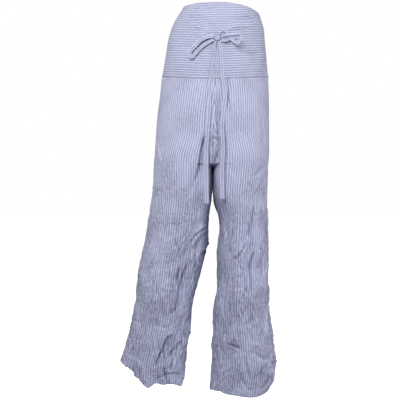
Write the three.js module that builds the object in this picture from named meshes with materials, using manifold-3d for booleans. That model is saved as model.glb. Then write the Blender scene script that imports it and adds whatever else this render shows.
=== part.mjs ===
// Wrap pants of crinkled striped cotton, filled out as when worn: a deep waistband, two wide
// straight legs, and a narrow tie that runs round inside the band and is knotted in a bow in front.
// Millimetres, +Z up. The front faces -Y, so the wearer's left leg is at +X and the right at -X.
// The origin is the middle of the waist, level with the tie. Waist and hems are open.
import * as THREE from "three";
import { mergeVertices } from "three/addons/utils/BufferGeometryUtils.js";
import Module from "manifold-3d";

const CLOTH = 1.4; // thickness of the crinkled cotton
const SEAM = 0.3; // space left between two pieces that are sewn together
const ROUND = 2.15; // power of the rounded sections, where 2 is an ellipse
const THIGH_POWER = 3.8; // the inside of a thigh is flatter where the thighs meet
const CALF_POWER = 2.3;

const DIVIDE = -240; // height where the hips start to divide into two legs
const FORK = -335; // height where the centre seams turn under, between the legs
const CROTCH = -374; // lowest point of the seam between the legs
const CROTCH_ROW = -400; // height at the outseam of the row of points that meets it
const FORK_SHARE = { front: 0.74, back: 0.84 }; // how far from the inseam, in half depths
const THIGHS_PART = -395; // the thighs lie against each other down to here
const THIGHS_APART = -500;

const SEAM_LEVEL = -98; // nominal height of the seam under the band
const SEAM_DIP = { front: -14, back: -4 }; // how much lower it runs in the middle
const SEAM_FADE = -190; // the dip has faded out of the rows at this height
const HEM_START = -740; // the hem's slope fades into the rows from this height

const BAND_COLUMNS = 28;
const BAND_ROWS = 7;
const LEG_COLUMNS = 16;
const OUTER_COLUMNS = 10 / 16; // share of the columns that stay clear of the crotch seam
const HIP_ROWS = 7;
const FORK_ROWS = 4;
const LEG_ROWS = 15;
const ROWS_BEND = 0.4; // share of the columns that keep the outseam's rows before they bend
const SEAM_PULL = 0.7; // share of the way to the centre seam where the cloth is first drawn to it

// Band and hips from the top down: where the outseams and the middle lie, and the reach in depth.
const HIPS = [
  { z: 100, right: -86, left: 118, front: -82, back: 84, mid: 2 },
  { z: 66, right: -108, left: 120, front: -90, back: 91, mid: 3 },
  { z: 33, right: -124, left: 129, front: -97, back: 97, mid: 2 },
  { z: 0, right: -132, left: 132, front: -101, back: 103, mid: 0 },
  { z: -40, right: -139, left: 135.5, front: -105, back: 112, mid: -2 },
  { z: -98, right: -149, left: 140.5, front: -108, back: 120, mid: -4 },
  { z: -148, right: -154.5, left: 143, front: -111, back: 124, mid: -6.5 },
  { z: -213, right: -162.5, left: 143.5, front: -113, back: 124, mid: -9 },
  { z: -295, right: -168, left: 143, front: -111, back: 119, mid: -11.2 },
  { z: -344, right: -171, left: 140.5, front: -107, back: 114, mid: -11.7 },
  { z: -380, right: -173, left: 139, front: -104, back: 111, mid: -11.7 },
];

// Each leg from the fork down: outseam, inseam, and the reach in depth.
const RIGHT_LEG = [
  { z: -344, outer: -171, inner: -11.9, front: -107, back: 114 },
  { z: -374, outer: -172.5, inner: -12, front: -104, back: 111 },
  { z: -426, outer: -176.5, inner: -14, front: -100, back: 107 },
  { z: -475, outer: -184.5, inner: -20.5, front: -96, back: 103 },
  { z: -541, outer: -195.5, inner: -24, front: -92, back: 99 },
  { z: -573, outer: -203.5, inner: -29, front: -91, back: 97 },
  { z: -639, outer: -214.5, inner: -45.5, front: -89, back: 93 },
  { z: -704, outer: -220, inner: -64, front: -87, back: 90 },
  { z: -770, outer: -233.5, inner: -70, front: -83, back: 86 },
  { z: -835, outer: -250, inner: -80.5, front: -79, back: 82 },
  { z: -876, outer: -262, inner: -85, front: -76, back: 79 },
  { z: -935, outer: -264, inner: -88, front: -74, back: 77 },
];
const LEFT_LEG = [
  { z: -344, outer: 140.5, inner: -11.5, front: -107, back: 114 },
  { z: -374, outer: 139.5, inner: -11.4, front: -104, back: 111 },
  { z: -426, outer: 137.5, inner: -8.5, front: -101, back: 108 },
  { z: -475, outer: 138.5, inner: 5, front: -99, back: 106 },
  { z: -508, outer: 140.5, inner: 8.5, front: -98, back: 105 },
  { z: -573, outer: 140.5, inner: 1.5, front: -96, back: 102 },
  { z: -672, outer: 140.5, inner: 1, front: -94, back: 98 },
  { z: -737, outer: 143.5, inner: -9, front: -90, back: 94 },
  { z: -803, outer: 153.5, inner: -10, front: -85, back: 89 },
  { z: -868, outer: 162, inner: -12.5, front: -81, back: 85 },
  { z: -906, outer: 158, inner: -16, front: -79, back: 83 },
  { z: -957, outer: 152, inner: -17, front: -78, back: 81 },
];

// Height of the band's top edge, by the angle round the waist: 0 at the wearer's left, 90 in front.
const TOP_EDGE = [
  { angle: 0, z: 52 },
  { angle: 10, z: 64 },
  { angle: 20, z: 73 },
  { angle: 35, z: 80 },
  { angle: 50, z: 87 },
  { angle: 65, z: 92 },
  { angle: 90, z: 96 },
  { angle: 115, z: 95 },
  { angle: 150, z: 92 },
  { angle: 180, z: 95 },
  { angle: 225, z: 88 },
  { angle: 270, z: 82 },
  { angle: 315, z: 66 },
  { angle: 360, z: 52 },
];

// Height of each hem, by the share of the way from the outseam (0) to the inseam (1).
const HEMS = {
  right: {
    level: -920,
    front: [
      { share: 0, z: -876 },
      { share: 0.12, z: -893 },
      { share: 0.2, z: -910 },
      { share: 0.32, z: -931 },
      { share: 0.43, z: -919 },
      { share: 0.56, z: -919 },
      { share: 0.72, z: -928 },
      { share: 0.86, z: -921 },
      { share: 1, z: -918 },
    ],
    back: [
      { share: 0, z: -876 },
      { share: 0.2, z: -888 },
      { share: 0.5, z: -905 },
      { share: 0.8, z: -914 },
      { share: 1, z: -918 },
    ],
  },
  left: {
    level: -940,
    front: [
      { share: 0, z: -906 },
      { share: 0.1, z: -917 },
      { share: 0.22, z: -936 },
      { share: 0.41, z: -957 },
      { share: 0.58, z: -951 },
      { share: 0.74, z: -941 },
      { share: 1, z: -938 },
    ],
    back: [
      { share: 0, z: -906 },
      { share: 0.25, z: -918 },
      { share: 0.6, z: -930 },
      { share: 1, z: -938 },
    ],
  },
};

// The largest folds: a soft trough along each line of [x, z] points, with a lower ridge on one
// side of it. width is from the trough's middle to its edge, and lip is the ridge's share.
const FOLDS = [
  { face: "front", width: 12, depth: 4.5, lip: 0.5,
    line: [[-96, 66], [-70, 54], [-34, 42], [-12, 12]] },
  { face: "front", width: 12, depth: 4, lip: -0.5,
    line: [[108, 50], [72, 52], [36, 42], [14, 10]] },
  { face: "front", width: 13, depth: 7, lip: 0.6,
    line: [[-31, -254], [-37, -299], [-45, -339], [-56, -375], [-72, -431]] },
  { face: "front", width: 10, depth: 5, lip: -0.6,
    line: [[6, -130], [2, -200], [10, -262], [2, -318]] },
  { face: "front", width: 15, depth: 8, lip: 0.7,
    line: [[103, -405], [87, -471], [79, -537], [87, -596], [77, -643], [87, -776]] },
  { face: "front", width: 12, depth: 5, lip: -0.5,
    line: [[118, -560], [112, -640], [121, -720], [116, -800]] },
  { face: "front", width: 12, depth: 5, lip: 0.6,
    line: [[-36, -470], [-58, -520], [-62, -580]] },
  { face: "front", width: 11, depth: 4, lip: 0.6,
    line: [[-215, -668], [-170, -676], [-138, -668]] },
  { face: "front", width: 12, depth: 4, lip: 0.5,
    line: [[-226, -762], [-180, -772], [-128, -764]] },
  { face: "front", width: 14, depth: 6, lip: -0.6,
    line: [[-112, -784], [-130, -830], [-151, -882]] },
  { face: "front", width: 10, depth: 4, lip: 0.6,
    line: [[20, -818], [44, -830], [66, -826]] },
  { face: "back", width: 14, depth: 4, lip: 0.2,
    line: [[-104, -250], [-74, -300], [-40, -356]] },
  { face: "back", width: 13, depth: 3.5, lip: -0.2,
    line: [[84, -262], [52, -310], [14, -362]] },
  { face: "back", width: 15, depth: 7, lip: 0.6,
    line: [[-120, -450], [-132, -560], [-150, -650]] },
  { face: "back", width: 15, depth: 7, lip: 0.6,
    line: [[84, -430], [70, -540], [80, -660], [72, -760]] },
  { face: "back", width: 12, depth: 4, lip: 0.5,
    line: [[-205, -690], [-160, -700], [-120, -690]] },
  { face: "back", width: 12, depth: 4, lip: 0.5,
    line: [[20, -700], [70, -712], [120, -702]] },
];
const FOLD_TAPER = 0.22; // share of a fold's length over which it fades in and out
const FOLD_REACH = 4; // a fold is nothing beyond this many widths
const LIP_AT = 1.7; // widths from the trough to the ridge beside it
const FOLD_STEPS = 4; // pieces of smooth curve for each point of a fold's line

// The tie: one flat strip, folded narrow where it is knotted.
const TIE = { thick: 1.6, start: 7, narrow: 9, end: 14, clear: 0.6, inside: 1 };
const KNOT = { x: 1, z: -4, half: [8, 5.2, 8], standOff: 1.2, power: 2.6 };
const SLOT = { wide: 7, deep: 6, tall: 10.5 }; // the opening in the band behind the knot
// The strip's way through it: half the space between its two runs, and a bend as [x, further in].
const NECK = { apart: 1.4, bend: [[2.4, 1.4], [6, 2]] };

// Routes of the two hanging ends as [x, z], down from the knot.
const END_ROUTES = {
  right: [
    [-4.5, -11.8], [-6, -30], [-8, -62], [-13, -88], [-15, -109], [-16, -141],
    [-19, -181], [-24, -247], [-29, -299], [-29, -352], [-28, -442],
  ],
  left: [
    [5, -11.8], [12, -27], [15.5, -67], [17.5, -111], [24, -143], [23, -166],
    [19, -188], [14, -240], [15.5, -299], [12.5, -357], [14, -429],
  ],
};
// Routes of the bow's loops as [x, forward of the band, z], out from the knot and back to it.
const LOOP_ROUTES = {
  right: [
    [-7.7, 5.5, -1], [-22, 8, 0], [-38, 10, -4], [-58, 10, -25], [-73, 9, -43], [-74, 9, -52],
    [-66, 9, -57], [-56, 9, -46], [-38, 9, -28], [-22, 7, -16], [-7.9, 5, -6.5],
  ],
  left: [
    [9.7, 6, -3], [22, 8, -1], [32, 13, 0], [42, 15, -8], [53, 14, -17], [60, 14, -11],
    [61, 13, 1], [54, 9, 2], [44, 6, -5], [32, 6, -13], [20, 6, -14], [10, 5, -9.5],
  ],
};
const KNOT_FOLD_ROUTE = [
  [6.2, 6.5, 4.1], [11, 9, 10], [19, 10, 12], [23, 9, 8], [17, 8, 5], [9.9, 6.5, 1.4],
];
const LOOP_TILT = 0.9; // how far a loop's strip is turned on edge, in radians
const LOOP_STEPS = 34;
const KNOT_FOLD_STEPS = 12;
const KNOT_FOLD_WIDTH = 5;
const END_STEPS = 36;
const END_WIDE_BY = 0.8; // share of its length where a hanging end has its whole width
const RING_STEPS = 44;
const RING_LAID = 0.93; // share of a quarter of the waist where the strip first lies on the band

function mix(a, b, share) {
  return a + (b - a) * share;
}

function smoothStep(from, to, value) {
  const share = Math.min(1, Math.max(0, (value - from) / (to - from)));
  return share * share * (3 - 2 * share);
}

// Value of a column at a place along a table: a cubic between rows, with the rows' own slopes.
function lookUp(rows, key, place, column) {
  const rising = rows[rows.length - 1][key] > rows[0][key] ? 1 : -1;
  let i = 0;
  while (i < rows.length - 2 && (rows[i + 1][key] - place) * rising < 0) i += 1;
  const slope = (k) => {
    const before = rows[Math.max(0, k - 1)];
    const after = rows[Math.min(rows.length - 1, k + 1)];
    return (after[column] - before[column]) / (after[key] - before[key]);
  };
  const span = rows[i + 1][key] - rows[i][key];
  const s = Math.min(1, Math.max(0, (place - rows[i][key]) / span));
  const a = rows[i][column];
  const b = rows[i + 1][column];
  const rise = s * s * (3 - 2 * s);
  const start = s * (1 - s) * (1 - s) * span * slope(i);
  const finish = s * s * (s - 1) * span * slope(i + 1);
  return mix(a, b, rise) + start + finish;
}

function sideName(side) {
  return side > 0 ? "left" : "right";
}

// Outseam, inseam or middle, and front and back reach of one side of the body at a height.
function sizesAt(side, z) {
  const onHips = z > HIPS[HIPS.length - 2].z;
  const legRows = side > 0 ? LEFT_LEG : RIGHT_LEG;
  const rows = onHips ? HIPS : legRows;
  return {
    outer: lookUp(rows, "z", z, onHips ? sideName(side) : "outer"),
    inner: lookUp(rows, "z", z, onHips ? "mid" : "inner"),
    front: lookUp(rows, "z", z, "front"),
    back: lookUp(rows, "z", z, "back"),
  };
}

function middleAt(z) {
  return lookUp(HIPS, "z", z, "mid");
}

// A point of a rounded section of half sizes 1 and 1, at an angle in radians.
function roundPoint(angle, power) {
  const x = Math.cos(angle);
  const y = Math.sin(angle);
  const reach = (Math.abs(x) ** power + Math.abs(y) ** power) ** (-1 / power);
  return [x * reach, y * reach];
}

// A quarter of the hips' section, from the outseam (0) to the centre seam (1).
function hipPoint(side, face, share, z) {
  const sizes = sizesAt(side, z);
  const middle = (sizes.front + sizes.back) / 2;
  const mid = middleAt(z);
  const [across, deep] = roundPoint((share * Math.PI) / 2, ROUND);
  return [mid + (sizes.outer - mid) * across, middle + (sizes[face] - middle) * deep];
}

function thighPower(z) {
  return mix(THIGH_POWER, CALF_POWER, smoothStep(THIGHS_PART, THIGHS_APART, z));
}

// Half of a leg's section, from the outseam (0) to the inseam (1).
function legPoint(side, face, share, z) {
  const sizes = sizesAt(side, z);
  const middle = (sizes.front + sizes.back) / 2;
  const centre = (sizes.outer + sizes.inner) / 2;
  const [across, deep] = roundPoint(share * Math.PI, share < 0.5 ? ROUND : thighPower(z));
  return [centre + (sizes.outer - centre) * across, middle + (sizes[face] - middle) * deep];
}

// Share of the leg's half section where the centre seam lies: as far round as the fork above it,
// then round the U of the crotch seam to the inseam.
function seamShare(face, z) {
  if (z <= CROTCH) return 1;
  const down = Math.max(0, (FORK - z) / (FORK - CROTCH));
  const deep = FORK_SHARE[face] * Math.sqrt(1 - down * down);
  const across = (1 - deep ** THIGH_POWER) ** (1 / THIGH_POWER);
  return Math.atan2(deep, -across) / Math.PI;
}
const FORK_AT = { front: seamShare("front", FORK), back: seamShare("back", FORK) };

// Section of one panel at a height: hips that turn into a leg, drawn to the centre seam.
function sectionPoint(side, face, share, z) {
  const turn = smoothStep(DIVIDE, FORK, z);
  const raw = (s) => {
    const leg = legPoint(side, face, s, z);
    if (turn === 1) return leg;
    const hip = hipPoint(side, face, s / FORK_AT[face], z);
    return [mix(hip[0], leg[0], turn), mix(hip[1], leg[1], turn)];
  };
  const point = raw(share);
  if (z > CROTCH) {
    const seam = seamShare(face, z);
    const seamX = middleAt(z) + (side * SEAM) / 2;
    point[0] += (seamX - raw(seam)[0]) * smoothStep(SEAM_PULL * seam, seam, share);
  }
  return point;
}

const SECTION_STEPS = 48;

// Share of the section where a column of the panel lies. Columns are evenly spaced, less half a
// seam's space at each end, but round the crotch only the inner ones give way to its seam.
function shareAlong(side, face, part, z) {
  const seam = seamShare(face, z);
  const reached = [0];
  let last = sectionPoint(side, face, 0, z);
  for (let i = 1; i <= SECTION_STEPS; i += 1) {
    const next = sectionPoint(side, face, (seam * i) / SECTION_STEPS, z);
    reached.push(reached[i - 1] + Math.hypot(next[0] - last[0], next[1] - last[1]));
    last = next;
  }
  const whole = reached[SECTION_STEPS];
  const forkStep = Math.min(1, FORK_AT[face] / seam) * SECTION_STEPS;
  const below = Math.min(SECTION_STEPS - 1, Math.floor(forkStep));
  const toFork = mix(reached[below], reached[below + 1], forkStep - below);
  const even = mix(toFork, whole, smoothStep(FORK, THIGHS_APART, z));
  const outer = even * OUTER_COLUMNS;
  const spaced =
    part < OUTER_COLUMNS
      ? part * even
      : mix(outer, whole, (part - OUTER_COLUMNS) / (1 - OUTER_COLUMNS));
  const wanted = mix(SEAM / 2, whole - SEAM / 2, spaced / whole);
  let i = 1;
  while (i < SECTION_STEPS && reached[i] < wanted) i += 1;
  const within = (wanted - reached[i - 1]) / (reached[i] - reached[i - 1]);
  return (seam * (i - 1 + within)) / SECTION_STEPS;
}

// Points along a smooth curve through a fold's line, worked out once.
const FOLD_LINES = FOLDS.map((fold) => {
  const curve = new THREE.CatmullRomCurve3(
    fold.line.map(([x, z]) => new THREE.Vector3(x, 0, z)),
  );
  return curve.getPoints(FOLD_STEPS * fold.line.length);
});

// How far the folds move the cloth out (or in, below 0) at a place seen from the front.
function foldDepth(face, x, z) {
  let moved = 0;
  FOLDS.forEach((fold, k) => {
    if (fold.face !== face) return;
    const points = FOLD_LINES[k];
    let best = Infinity;
    let side = 0;
    let along = 0;
    for (let i = 0; i + 1 < points.length; i += 1) {
      const dx = points[i + 1].x - points[i].x;
      const dz = points[i + 1].z - points[i].z;
      const length = Math.hypot(dx, dz);
      const onto = ((x - points[i].x) * dx + (z - points[i].z) * dz) / length ** 2;
      const s = Math.min(1, Math.max(0, onto));
      const awayX = x - points[i].x - s * dx;
      const awayZ = z - points[i].z - s * dz;
      const away = Math.hypot(awayX, awayZ);
      if (away < best) {
        best = away;
        side = (awayX * dz - awayZ * dx) / length;
        along = (i + s) / (points.length - 1);
      }
    }
    if (best > FOLD_REACH * fold.width) return;
    const fade = smoothStep(0, FOLD_TAPER, along) * smoothStep(1, 1 - FOLD_TAPER, along);
    const trough = Math.exp(-((best / fold.width) ** 2));
    const lipAt = Math.sign(fold.lip) * LIP_AT * fold.width;
    const beside = Math.hypot(side - lipAt, Math.sqrt(Math.max(0, best ** 2 - side ** 2)));
    const ridge = Math.abs(fold.lip) * Math.exp(-((beside / fold.width) ** 2));
    moved += fold.depth * fade * (ridge - trough);
  });
  return moved;
}

const SHARE_STEP = 0.003; // small steps, for slopes
const HEIGHT_STEP = 0.5;

// A point of the cloth's outer side, moved in or out by the folds.
function clothPoint(side, face, share, z) {
  const [x, y] = sectionPoint(side, face, share, z);
  const step = share > 0.5 ? -SHARE_STEP : SHARE_STEP;
  const [nearX, nearY] = sectionPoint(side, face, share + step, z);
  const turn = (side * (face === "front" ? 1 : -1) * Math.sign(step)) / Math.hypot(nearX - x, nearY - y);
  const outX = turn * (y - nearY);
  const outY = turn * (nearX - x);
  const moved = foldDepth(face, x, z) * Math.abs(outY);
  return new THREE.Vector3(x + outX * moved, y + outY * moved, z);
}

// The direction out of the cloth at a place on it.
function clothNormal(side, face, share, z) {
  const point = clothPoint(side, face, share, z);
  const step = share > 0.5 ? -SHARE_STEP : SHARE_STEP;
  const along = clothPoint(side, face, share + step, z).sub(point).divideScalar(step);
  const down = clothPoint(side, face, share, z - HEIGHT_STEP).sub(point);
  const turn = side * (face === "front" ? 1 : -1);
  return along.cross(down).normalize().multiplyScalar(turn);
}

function seamHeight(face, share) {
  const quarter = Math.min(1, share / FORK_AT[face]);
  return SEAM_LEVEL + SEAM_DIP[face] * Math.sin((quarter * Math.PI) / 2) ** 2;
}

// Rows of a leg panel, each with its nominal height at the outseam and at the centre seam or
// inseam. Round the U of the crotch seam they are spaced by its angle.
function legRows(side) {
  const hem = HEMS[sideName(side)].level;
  const rows = [];
  for (let i = 0; i < HIP_ROWS; i += 1) {
    const level = mix(SEAM_LEVEL, FORK, i / HIP_ROWS);
    rows.push({ outer: level, inner: level });
  }
  for (let i = 0; i < FORK_ROWS; i += 1) {
    const angle = ((i / FORK_ROWS) * Math.PI) / 2;
    rows.push({
      outer: mix(FORK, CROTCH_ROW, i / FORK_ROWS),
      inner: mix(FORK, CROTCH, Math.sin(angle)),
    });
  }
  for (let i = 0; i <= LEG_ROWS; i += 1) {
    rows.push({
      outer: mix(CROTCH_ROW, hem, i / LEG_ROWS),
      inner: mix(CROTCH, hem, i / LEG_ROWS),
    });
  }
  return rows;
}

// Real height of a place on a leg panel: its row's, bent to the seam above and to the hem below.
function legHeight(side, face, share, level) {
  const hem = HEMS[sideName(side)];
  const bent = seamHeight(face, share) - SEAM / 2 - SEAM_LEVEL;
  const sloped = lookUp(hem[face], "share", share, "z") - hem.level;
  const atSeam = smoothStep(SEAM_FADE, SEAM_LEVEL, level);
  const atHem = smoothStep(HEM_START, hem.level, level);
  return level + bent * atSeam + sloped * atHem;
}

// A place on the cloth is its side, face, share of the leg's half section, and height.
function legPlace(side, face, part, row) {
  const share = shareAlong(side, face, part, row.inner);
  const level = mix(row.outer, row.inner, smoothStep(ROWS_BEND, 1, part));
  return [side, face, share, legHeight(side, face, share, level)];
}

// A place on half of the band: part runs from the right outseam (0) to the left outseam (1).
function bandPlace(face, part, down) {
  const side = part > 0.5 ? 1 : -1;
  const share = shareAlong(side, face, 1 - Math.abs(2 * part - 1), SEAM_LEVEL);
  const round = (90 * share) / FORK_AT[face];
  const front = side > 0 ? round : 180 - round;
  const angle = face === "front" ? front : 360 - front;
  const top = lookUp(TOP_EDGE, "angle", angle, "z");
  const bottom = seamHeight(face, share) + SEAM / 2;
  return [side, face, share, mix(top, bottom, down)];
}

// A closed wall: an outer grid of points, the same grid moved in by the cloth's thickness, and
// rims round the edge. placeAt takes two numbers from 0 to 1, and turn is 1 where rows run
// against the clock round the outside and -1 where they run with it.
function wallGeometry(columns, rows, turn, placeAt) {
  const points = [];
  const inside = [];
  for (let j = 0; j <= rows; j += 1) {
    for (let i = 0; i <= columns; i += 1) {
      const place = placeAt(i / columns, j / rows);
      const point = clothPoint(...place);
      points.push(point);
      inside.push(point.clone().addScaledVector(clothNormal(...place), -CLOTH));
    }
  }
  const wide = columns + 1;
  const count = points.length;
  const faces = [];
  const quad = (a, b, c, d) => faces.push([a, b, c], [a, c, d]);
  // Each cell is split on its shorter diagonal, and the inside in the same way as the outside.
  for (let j = 0; j < rows; j += 1) {
    for (let i = 0; i < columns; i += 1) {
      const a = j * wide + i;
      const corners = [a, a + 1, a + wide + 1, a + wide];
      const span = (k, l) => points[corners[k]].distanceTo(points[corners[l]]);
      if (span(1, 3) < span(0, 2)) corners.push(corners.shift());
      const [first, second, third, fourth] = corners;
      quad(first, second, third, fourth);
      quad(count + first, count + fourth, count + third, count + second);
    }
  }
  const rim = (p, q) => quad(q, p, count + p, count + q);
  for (let i = 0; i < columns; i += 1) {
    rim(i, i + 1);
    rim(rows * wide + i + 1, rows * wide + i);
  }
  for (let j = 0; j < rows; j += 1) {
    rim((j + 1) * wide, j * wide);
    rim(j * wide + columns, (j + 1) * wide + columns);
  }
  const index = faces.flatMap(([a, b, c]) => (turn > 0 ? [a, b, c] : [a, c, b]));
  return new THREE.BufferGeometry()
    .setFromPoints(points.concat(inside))
    .setIndex(index);
}

function legGeometry(side, face) {
  const rows = legRows(side);
  const last = rows.length - 1;
  const rowAt = (v) => {
    const above = Math.min(last - 1, Math.floor(v * last));
    const share = v * last - above;
    return {
      outer: mix(rows[above].outer, rows[above + 1].outer, share),
      inner: mix(rows[above].inner, rows[above + 1].inner, share),
    };
  };
  const turn = side * (face === "front" ? 1 : -1);
  return wallGeometry(LEG_COLUMNS, last, turn, (u, v) => legPlace(side, face, u, rowAt(v)));
}

function bandGeometry(face) {
  const turn = face === "front" ? -1 : 1;
  return wallGeometry(BAND_COLUMNS, BAND_ROWS, turn, (u, v) => bandPlace(face, u, v));
}

// A flat strip through stations, each with its middle, the direction across it and its width.
function stripGeometry(stations) {
  const corners = [];
  const last = stations.length - 1;
  stations.forEach(({ at, across, width }, i) => {
    const before = stations[Math.max(0, i - 1)].at;
    const after = stations[Math.min(last, i + 1)].at;
    const along = after.clone().sub(before).normalize();
    const side = across.clone().addScaledVector(along, -across.dot(along)).normalize();
    const out = along.clone().cross(side).normalize();
    for (const [s, o] of [[1, 1], [-1, 1], [-1, -1], [1, -1]]) {
      corners.push(
        at
          .clone()
          .addScaledVector(side, (s * width) / 2)
          .addScaledVector(out, (o * TIE.thick) / 2),
      );
    }
  });
  const index = [0, 2, 1, 0, 3, 2];
  for (let i = 0; i < last; i += 1) {
    for (let k = 0; k < 4; k += 1) {
      const a = 4 * i + k;
      const b = 4 * i + ((k + 1) % 4);
      index.push(a, b, b + 4, a, b + 4, a + 4);
    }
  }
  const end = 4 * last;
  index.push(end, end + 1, end + 2, end, end + 2, end + 3);
  return new THREE.BufferGeometry().setFromPoints(corners).setIndex(index);
}

// Depth of the front cloth at a place seen from the front.
function frontY(x, z) {
  const side = x > middleAt(z) ? 1 : -1;
  const seam = seamShare("front", z);
  let last = clothPoint(side, "front", 0, z);
  for (let i = 1; i <= SECTION_STEPS; i += 1) {
    const next = clothPoint(side, "front", (seam * i) / SECTION_STEPS, z);
    if ((next.x - x) * side <= 0) {
      return mix(last.y, next.y, (last.x - x) / (last.x - next.x));
    }
    last = next;
  }
  return last.y;
}

const BAND_FRONT = frontY(KNOT.x, KNOT.z);
const KNOT_CENTRE = new THREE.Vector3(KNOT.x, BAND_FRONT - KNOT.standOff - KNOT.half[1], KNOT.z);

// The knot: a rounded lump of folded strip.
function knotGeometry() {
  const ball = new THREE.SphereGeometry(1, 16, 10);
  ball.deleteAttribute("normal");
  ball.deleteAttribute("uv");
  const geometry = mergeVertices(ball);
  const place = geometry.getAttribute("position");
  const half = new THREE.Vector3(...KNOT.half);
  for (let i = 0; i < place.count; i += 1) {
    const point = new THREE.Vector3().fromBufferAttribute(place, i);
    const size = point.toArray().reduce((sum, v) => sum + Math.abs(v) ** KNOT.power, 0);
    point.multiplyScalar(size ** (-1 / KNOT.power)).multiply(half).add(KNOT_CENTRE);
    place.setXYZ(i, ...point);
  }
  return geometry;
}

// A loop of the bow: the strip follows its route, turned partly on edge.
function loopGeometry(route, steps, width) {
  const curve = new THREE.CatmullRomCurve3(
    route.map(([x, forward, z]) => new THREE.Vector3(x, BAND_FRONT - forward, z)),
    false,
    "centripetal",
  );
  const depth = new THREE.Vector3(0, 1, 0);
  const stations = [];
  for (let i = 0; i <= steps; i += 1) {
    const along = curve.getTangentAt(i / steps);
    const flat = along.clone().cross(depth).normalize();
    stations.push({
      at: curve.getPointAt(i / steps),
      across: flat.multiplyScalar(Math.cos(LOOP_TILT)).addScaledVector(depth, Math.sin(LOOP_TILT)),
      width,
    });
  }
  return stripGeometry(stations);
}

// A hanging end: straight down from the knot until it meets the cloth, then down the cloth's
// front, and straight down again where the cloth falls away behind it.
function endGeometry(route) {
  const curve = new THREE.CatmullRomCurve3(
    route.map(([x, z]) => new THREE.Vector3(x, 0, z)),
    false,
    "centripetal",
  );
  const stations = [];
  let depth = KNOT_CENTRE.y;
  for (let i = 0; i <= END_STEPS; i += 1) {
    const share = i / END_STEPS;
    const at = curve.getPointAt(share);
    const along = curve.getTangentAt(share);
    const width = mix(TIE.start, TIE.end, smoothStep(0, END_WIDE_BY, share));
    for (const edge of [-0.5, 0, 0.5]) {
      depth = Math.min(depth, frontY(at.x + edge * width, at.z) - TIE.clear - TIE.thick / 2);
    }
    at.y = depth;
    stations.push({ at, across: new THREE.Vector3(-along.z, 0, along.x), width });
  }
  return stripGeometry(stations);
}

// The strip inside the band: out of the knot through the slot, all round the waist, and back.
function ringGeometry() {
  const inward = CLOTH + TIE.inside + TIE.thick / 2;
  const width = TIE.narrow;
  // A place along the inside of the band, with the band's own slope across the strip.
  const insideAt = (side, face, quarter) => {
    const place = [side, face, quarter * FORK_AT[face], KNOT.z];
    const outer = clothPoint(...place);
    const below = clothPoint(...place.slice(0, 3), KNOT.z - HEIGHT_STEP);
    const across = outer.clone().sub(below).normalize();
    return { at: outer.addScaledVector(clothNormal(...place), -inward), across, width };
  };
  const neckAt = (x, y) => ({
    at: new THREE.Vector3(KNOT.x + x, y, KNOT.z),
    across: new THREE.Vector3(0, 0, 1),
    width,
  });
  const neck = (side) => [
    neckAt(side * NECK.apart, BAND_FRONT - KNOT.standOff + SEAM),
    neckAt(side * NECK.apart, BAND_FRONT + CLOTH),
    ...NECK.bend.map(([x, further]) => neckAt(side * x, BAND_FRONT + inward + further)),
  ];
  const quarter = RING_STEPS / 4;
  const half = (side) => {
    const stations = neck(side);
    for (let i = 0; i <= quarter; i += 1) {
      stations.push(insideAt(side, "front", RING_LAID * (1 - i / quarter)));
    }
    for (let i = 1; i <= quarter; i += 1) stations.push(insideAt(side, "back", i / quarter));
    return stations;
  };
  return stripGeometry(half(1).concat(half(-1).reverse().slice(1)));
}

const wasm = await Module();
wasm.setup();

function solidOf(geometry) {
  const bare = geometry.clone();
  bare.deleteAttribute("normal");
  bare.deleteAttribute("uv");
  const merged = mergeVertices(bare);
  return new wasm.Manifold(
    new wasm.Mesh({
      numProp: 3,
      vertProperties: merged.getAttribute("position").array,
      triVerts: new Uint32Array(merged.index.array),
    }),
  );
}

function cutOut(geometry, tool) {
  const { vertProperties, triVerts } = solidOf(geometry).subtract(solidOf(tool)).getMesh();
  return new THREE.BufferGeometry()
    .setAttribute("position", new THREE.BufferAttribute(vertProperties, 3))
    .setIndex(new THREE.BufferAttribute(triVerts, 1));
}

function frontBandGeometry() {
  const slot = new THREE.BoxGeometry(SLOT.wide, SLOT.deep, SLOT.tall);
  slot.translate(KNOT.x, BAND_FRONT, KNOT.z);
  return cutOut(bandGeometry("front"), slot);
}

const cotton = new THREE.MeshStandardMaterial({ color: 0x9fa3c6, roughness: 0.85, side: THREE.DoubleSide });
const pants = new THREE.Group();

function addPiece(name, geometry) {
  const mesh = new THREE.Mesh(geometry, cotton);
  mesh.name = name;
  pants.add(mesh);
}

addPiece("waistband_front", frontBandGeometry());
addPiece("waistband_back", bandGeometry("back"));
for (const side of [1, -1]) {
  for (const face of ["front", "back"]) {
    addPiece(`${sideName(side)}_leg_${face}`, legGeometry(side, face));
  }
  addPiece(`tie_end_${sideName(side)}`, endGeometry(END_ROUTES[sideName(side)]));
  addPiece(
    `bow_loop_${sideName(side)}`,
    loopGeometry(LOOP_ROUTES[sideName(side)], LOOP_STEPS, TIE.narrow),
  );
}
addPiece("bow_knot", knotGeometry());
addPiece("bow_knot_fold", loopGeometry(KNOT_FOLD_ROUTE, KNOT_FOLD_STEPS, KNOT_FOLD_WIDTH));
addPiece("tie_round_waist", ringGeometry());

export default pants;
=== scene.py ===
"""Looks of the striped wrap pants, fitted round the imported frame.

Metres, +Z up. The front faces -Y, so the wearer's left leg is at +X and the right at -X. The
cloth's form repeats the part's own tables and formulas on a closer grid, with its creases,
seams, hems, stitching and stripes.
"""

import math

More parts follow.
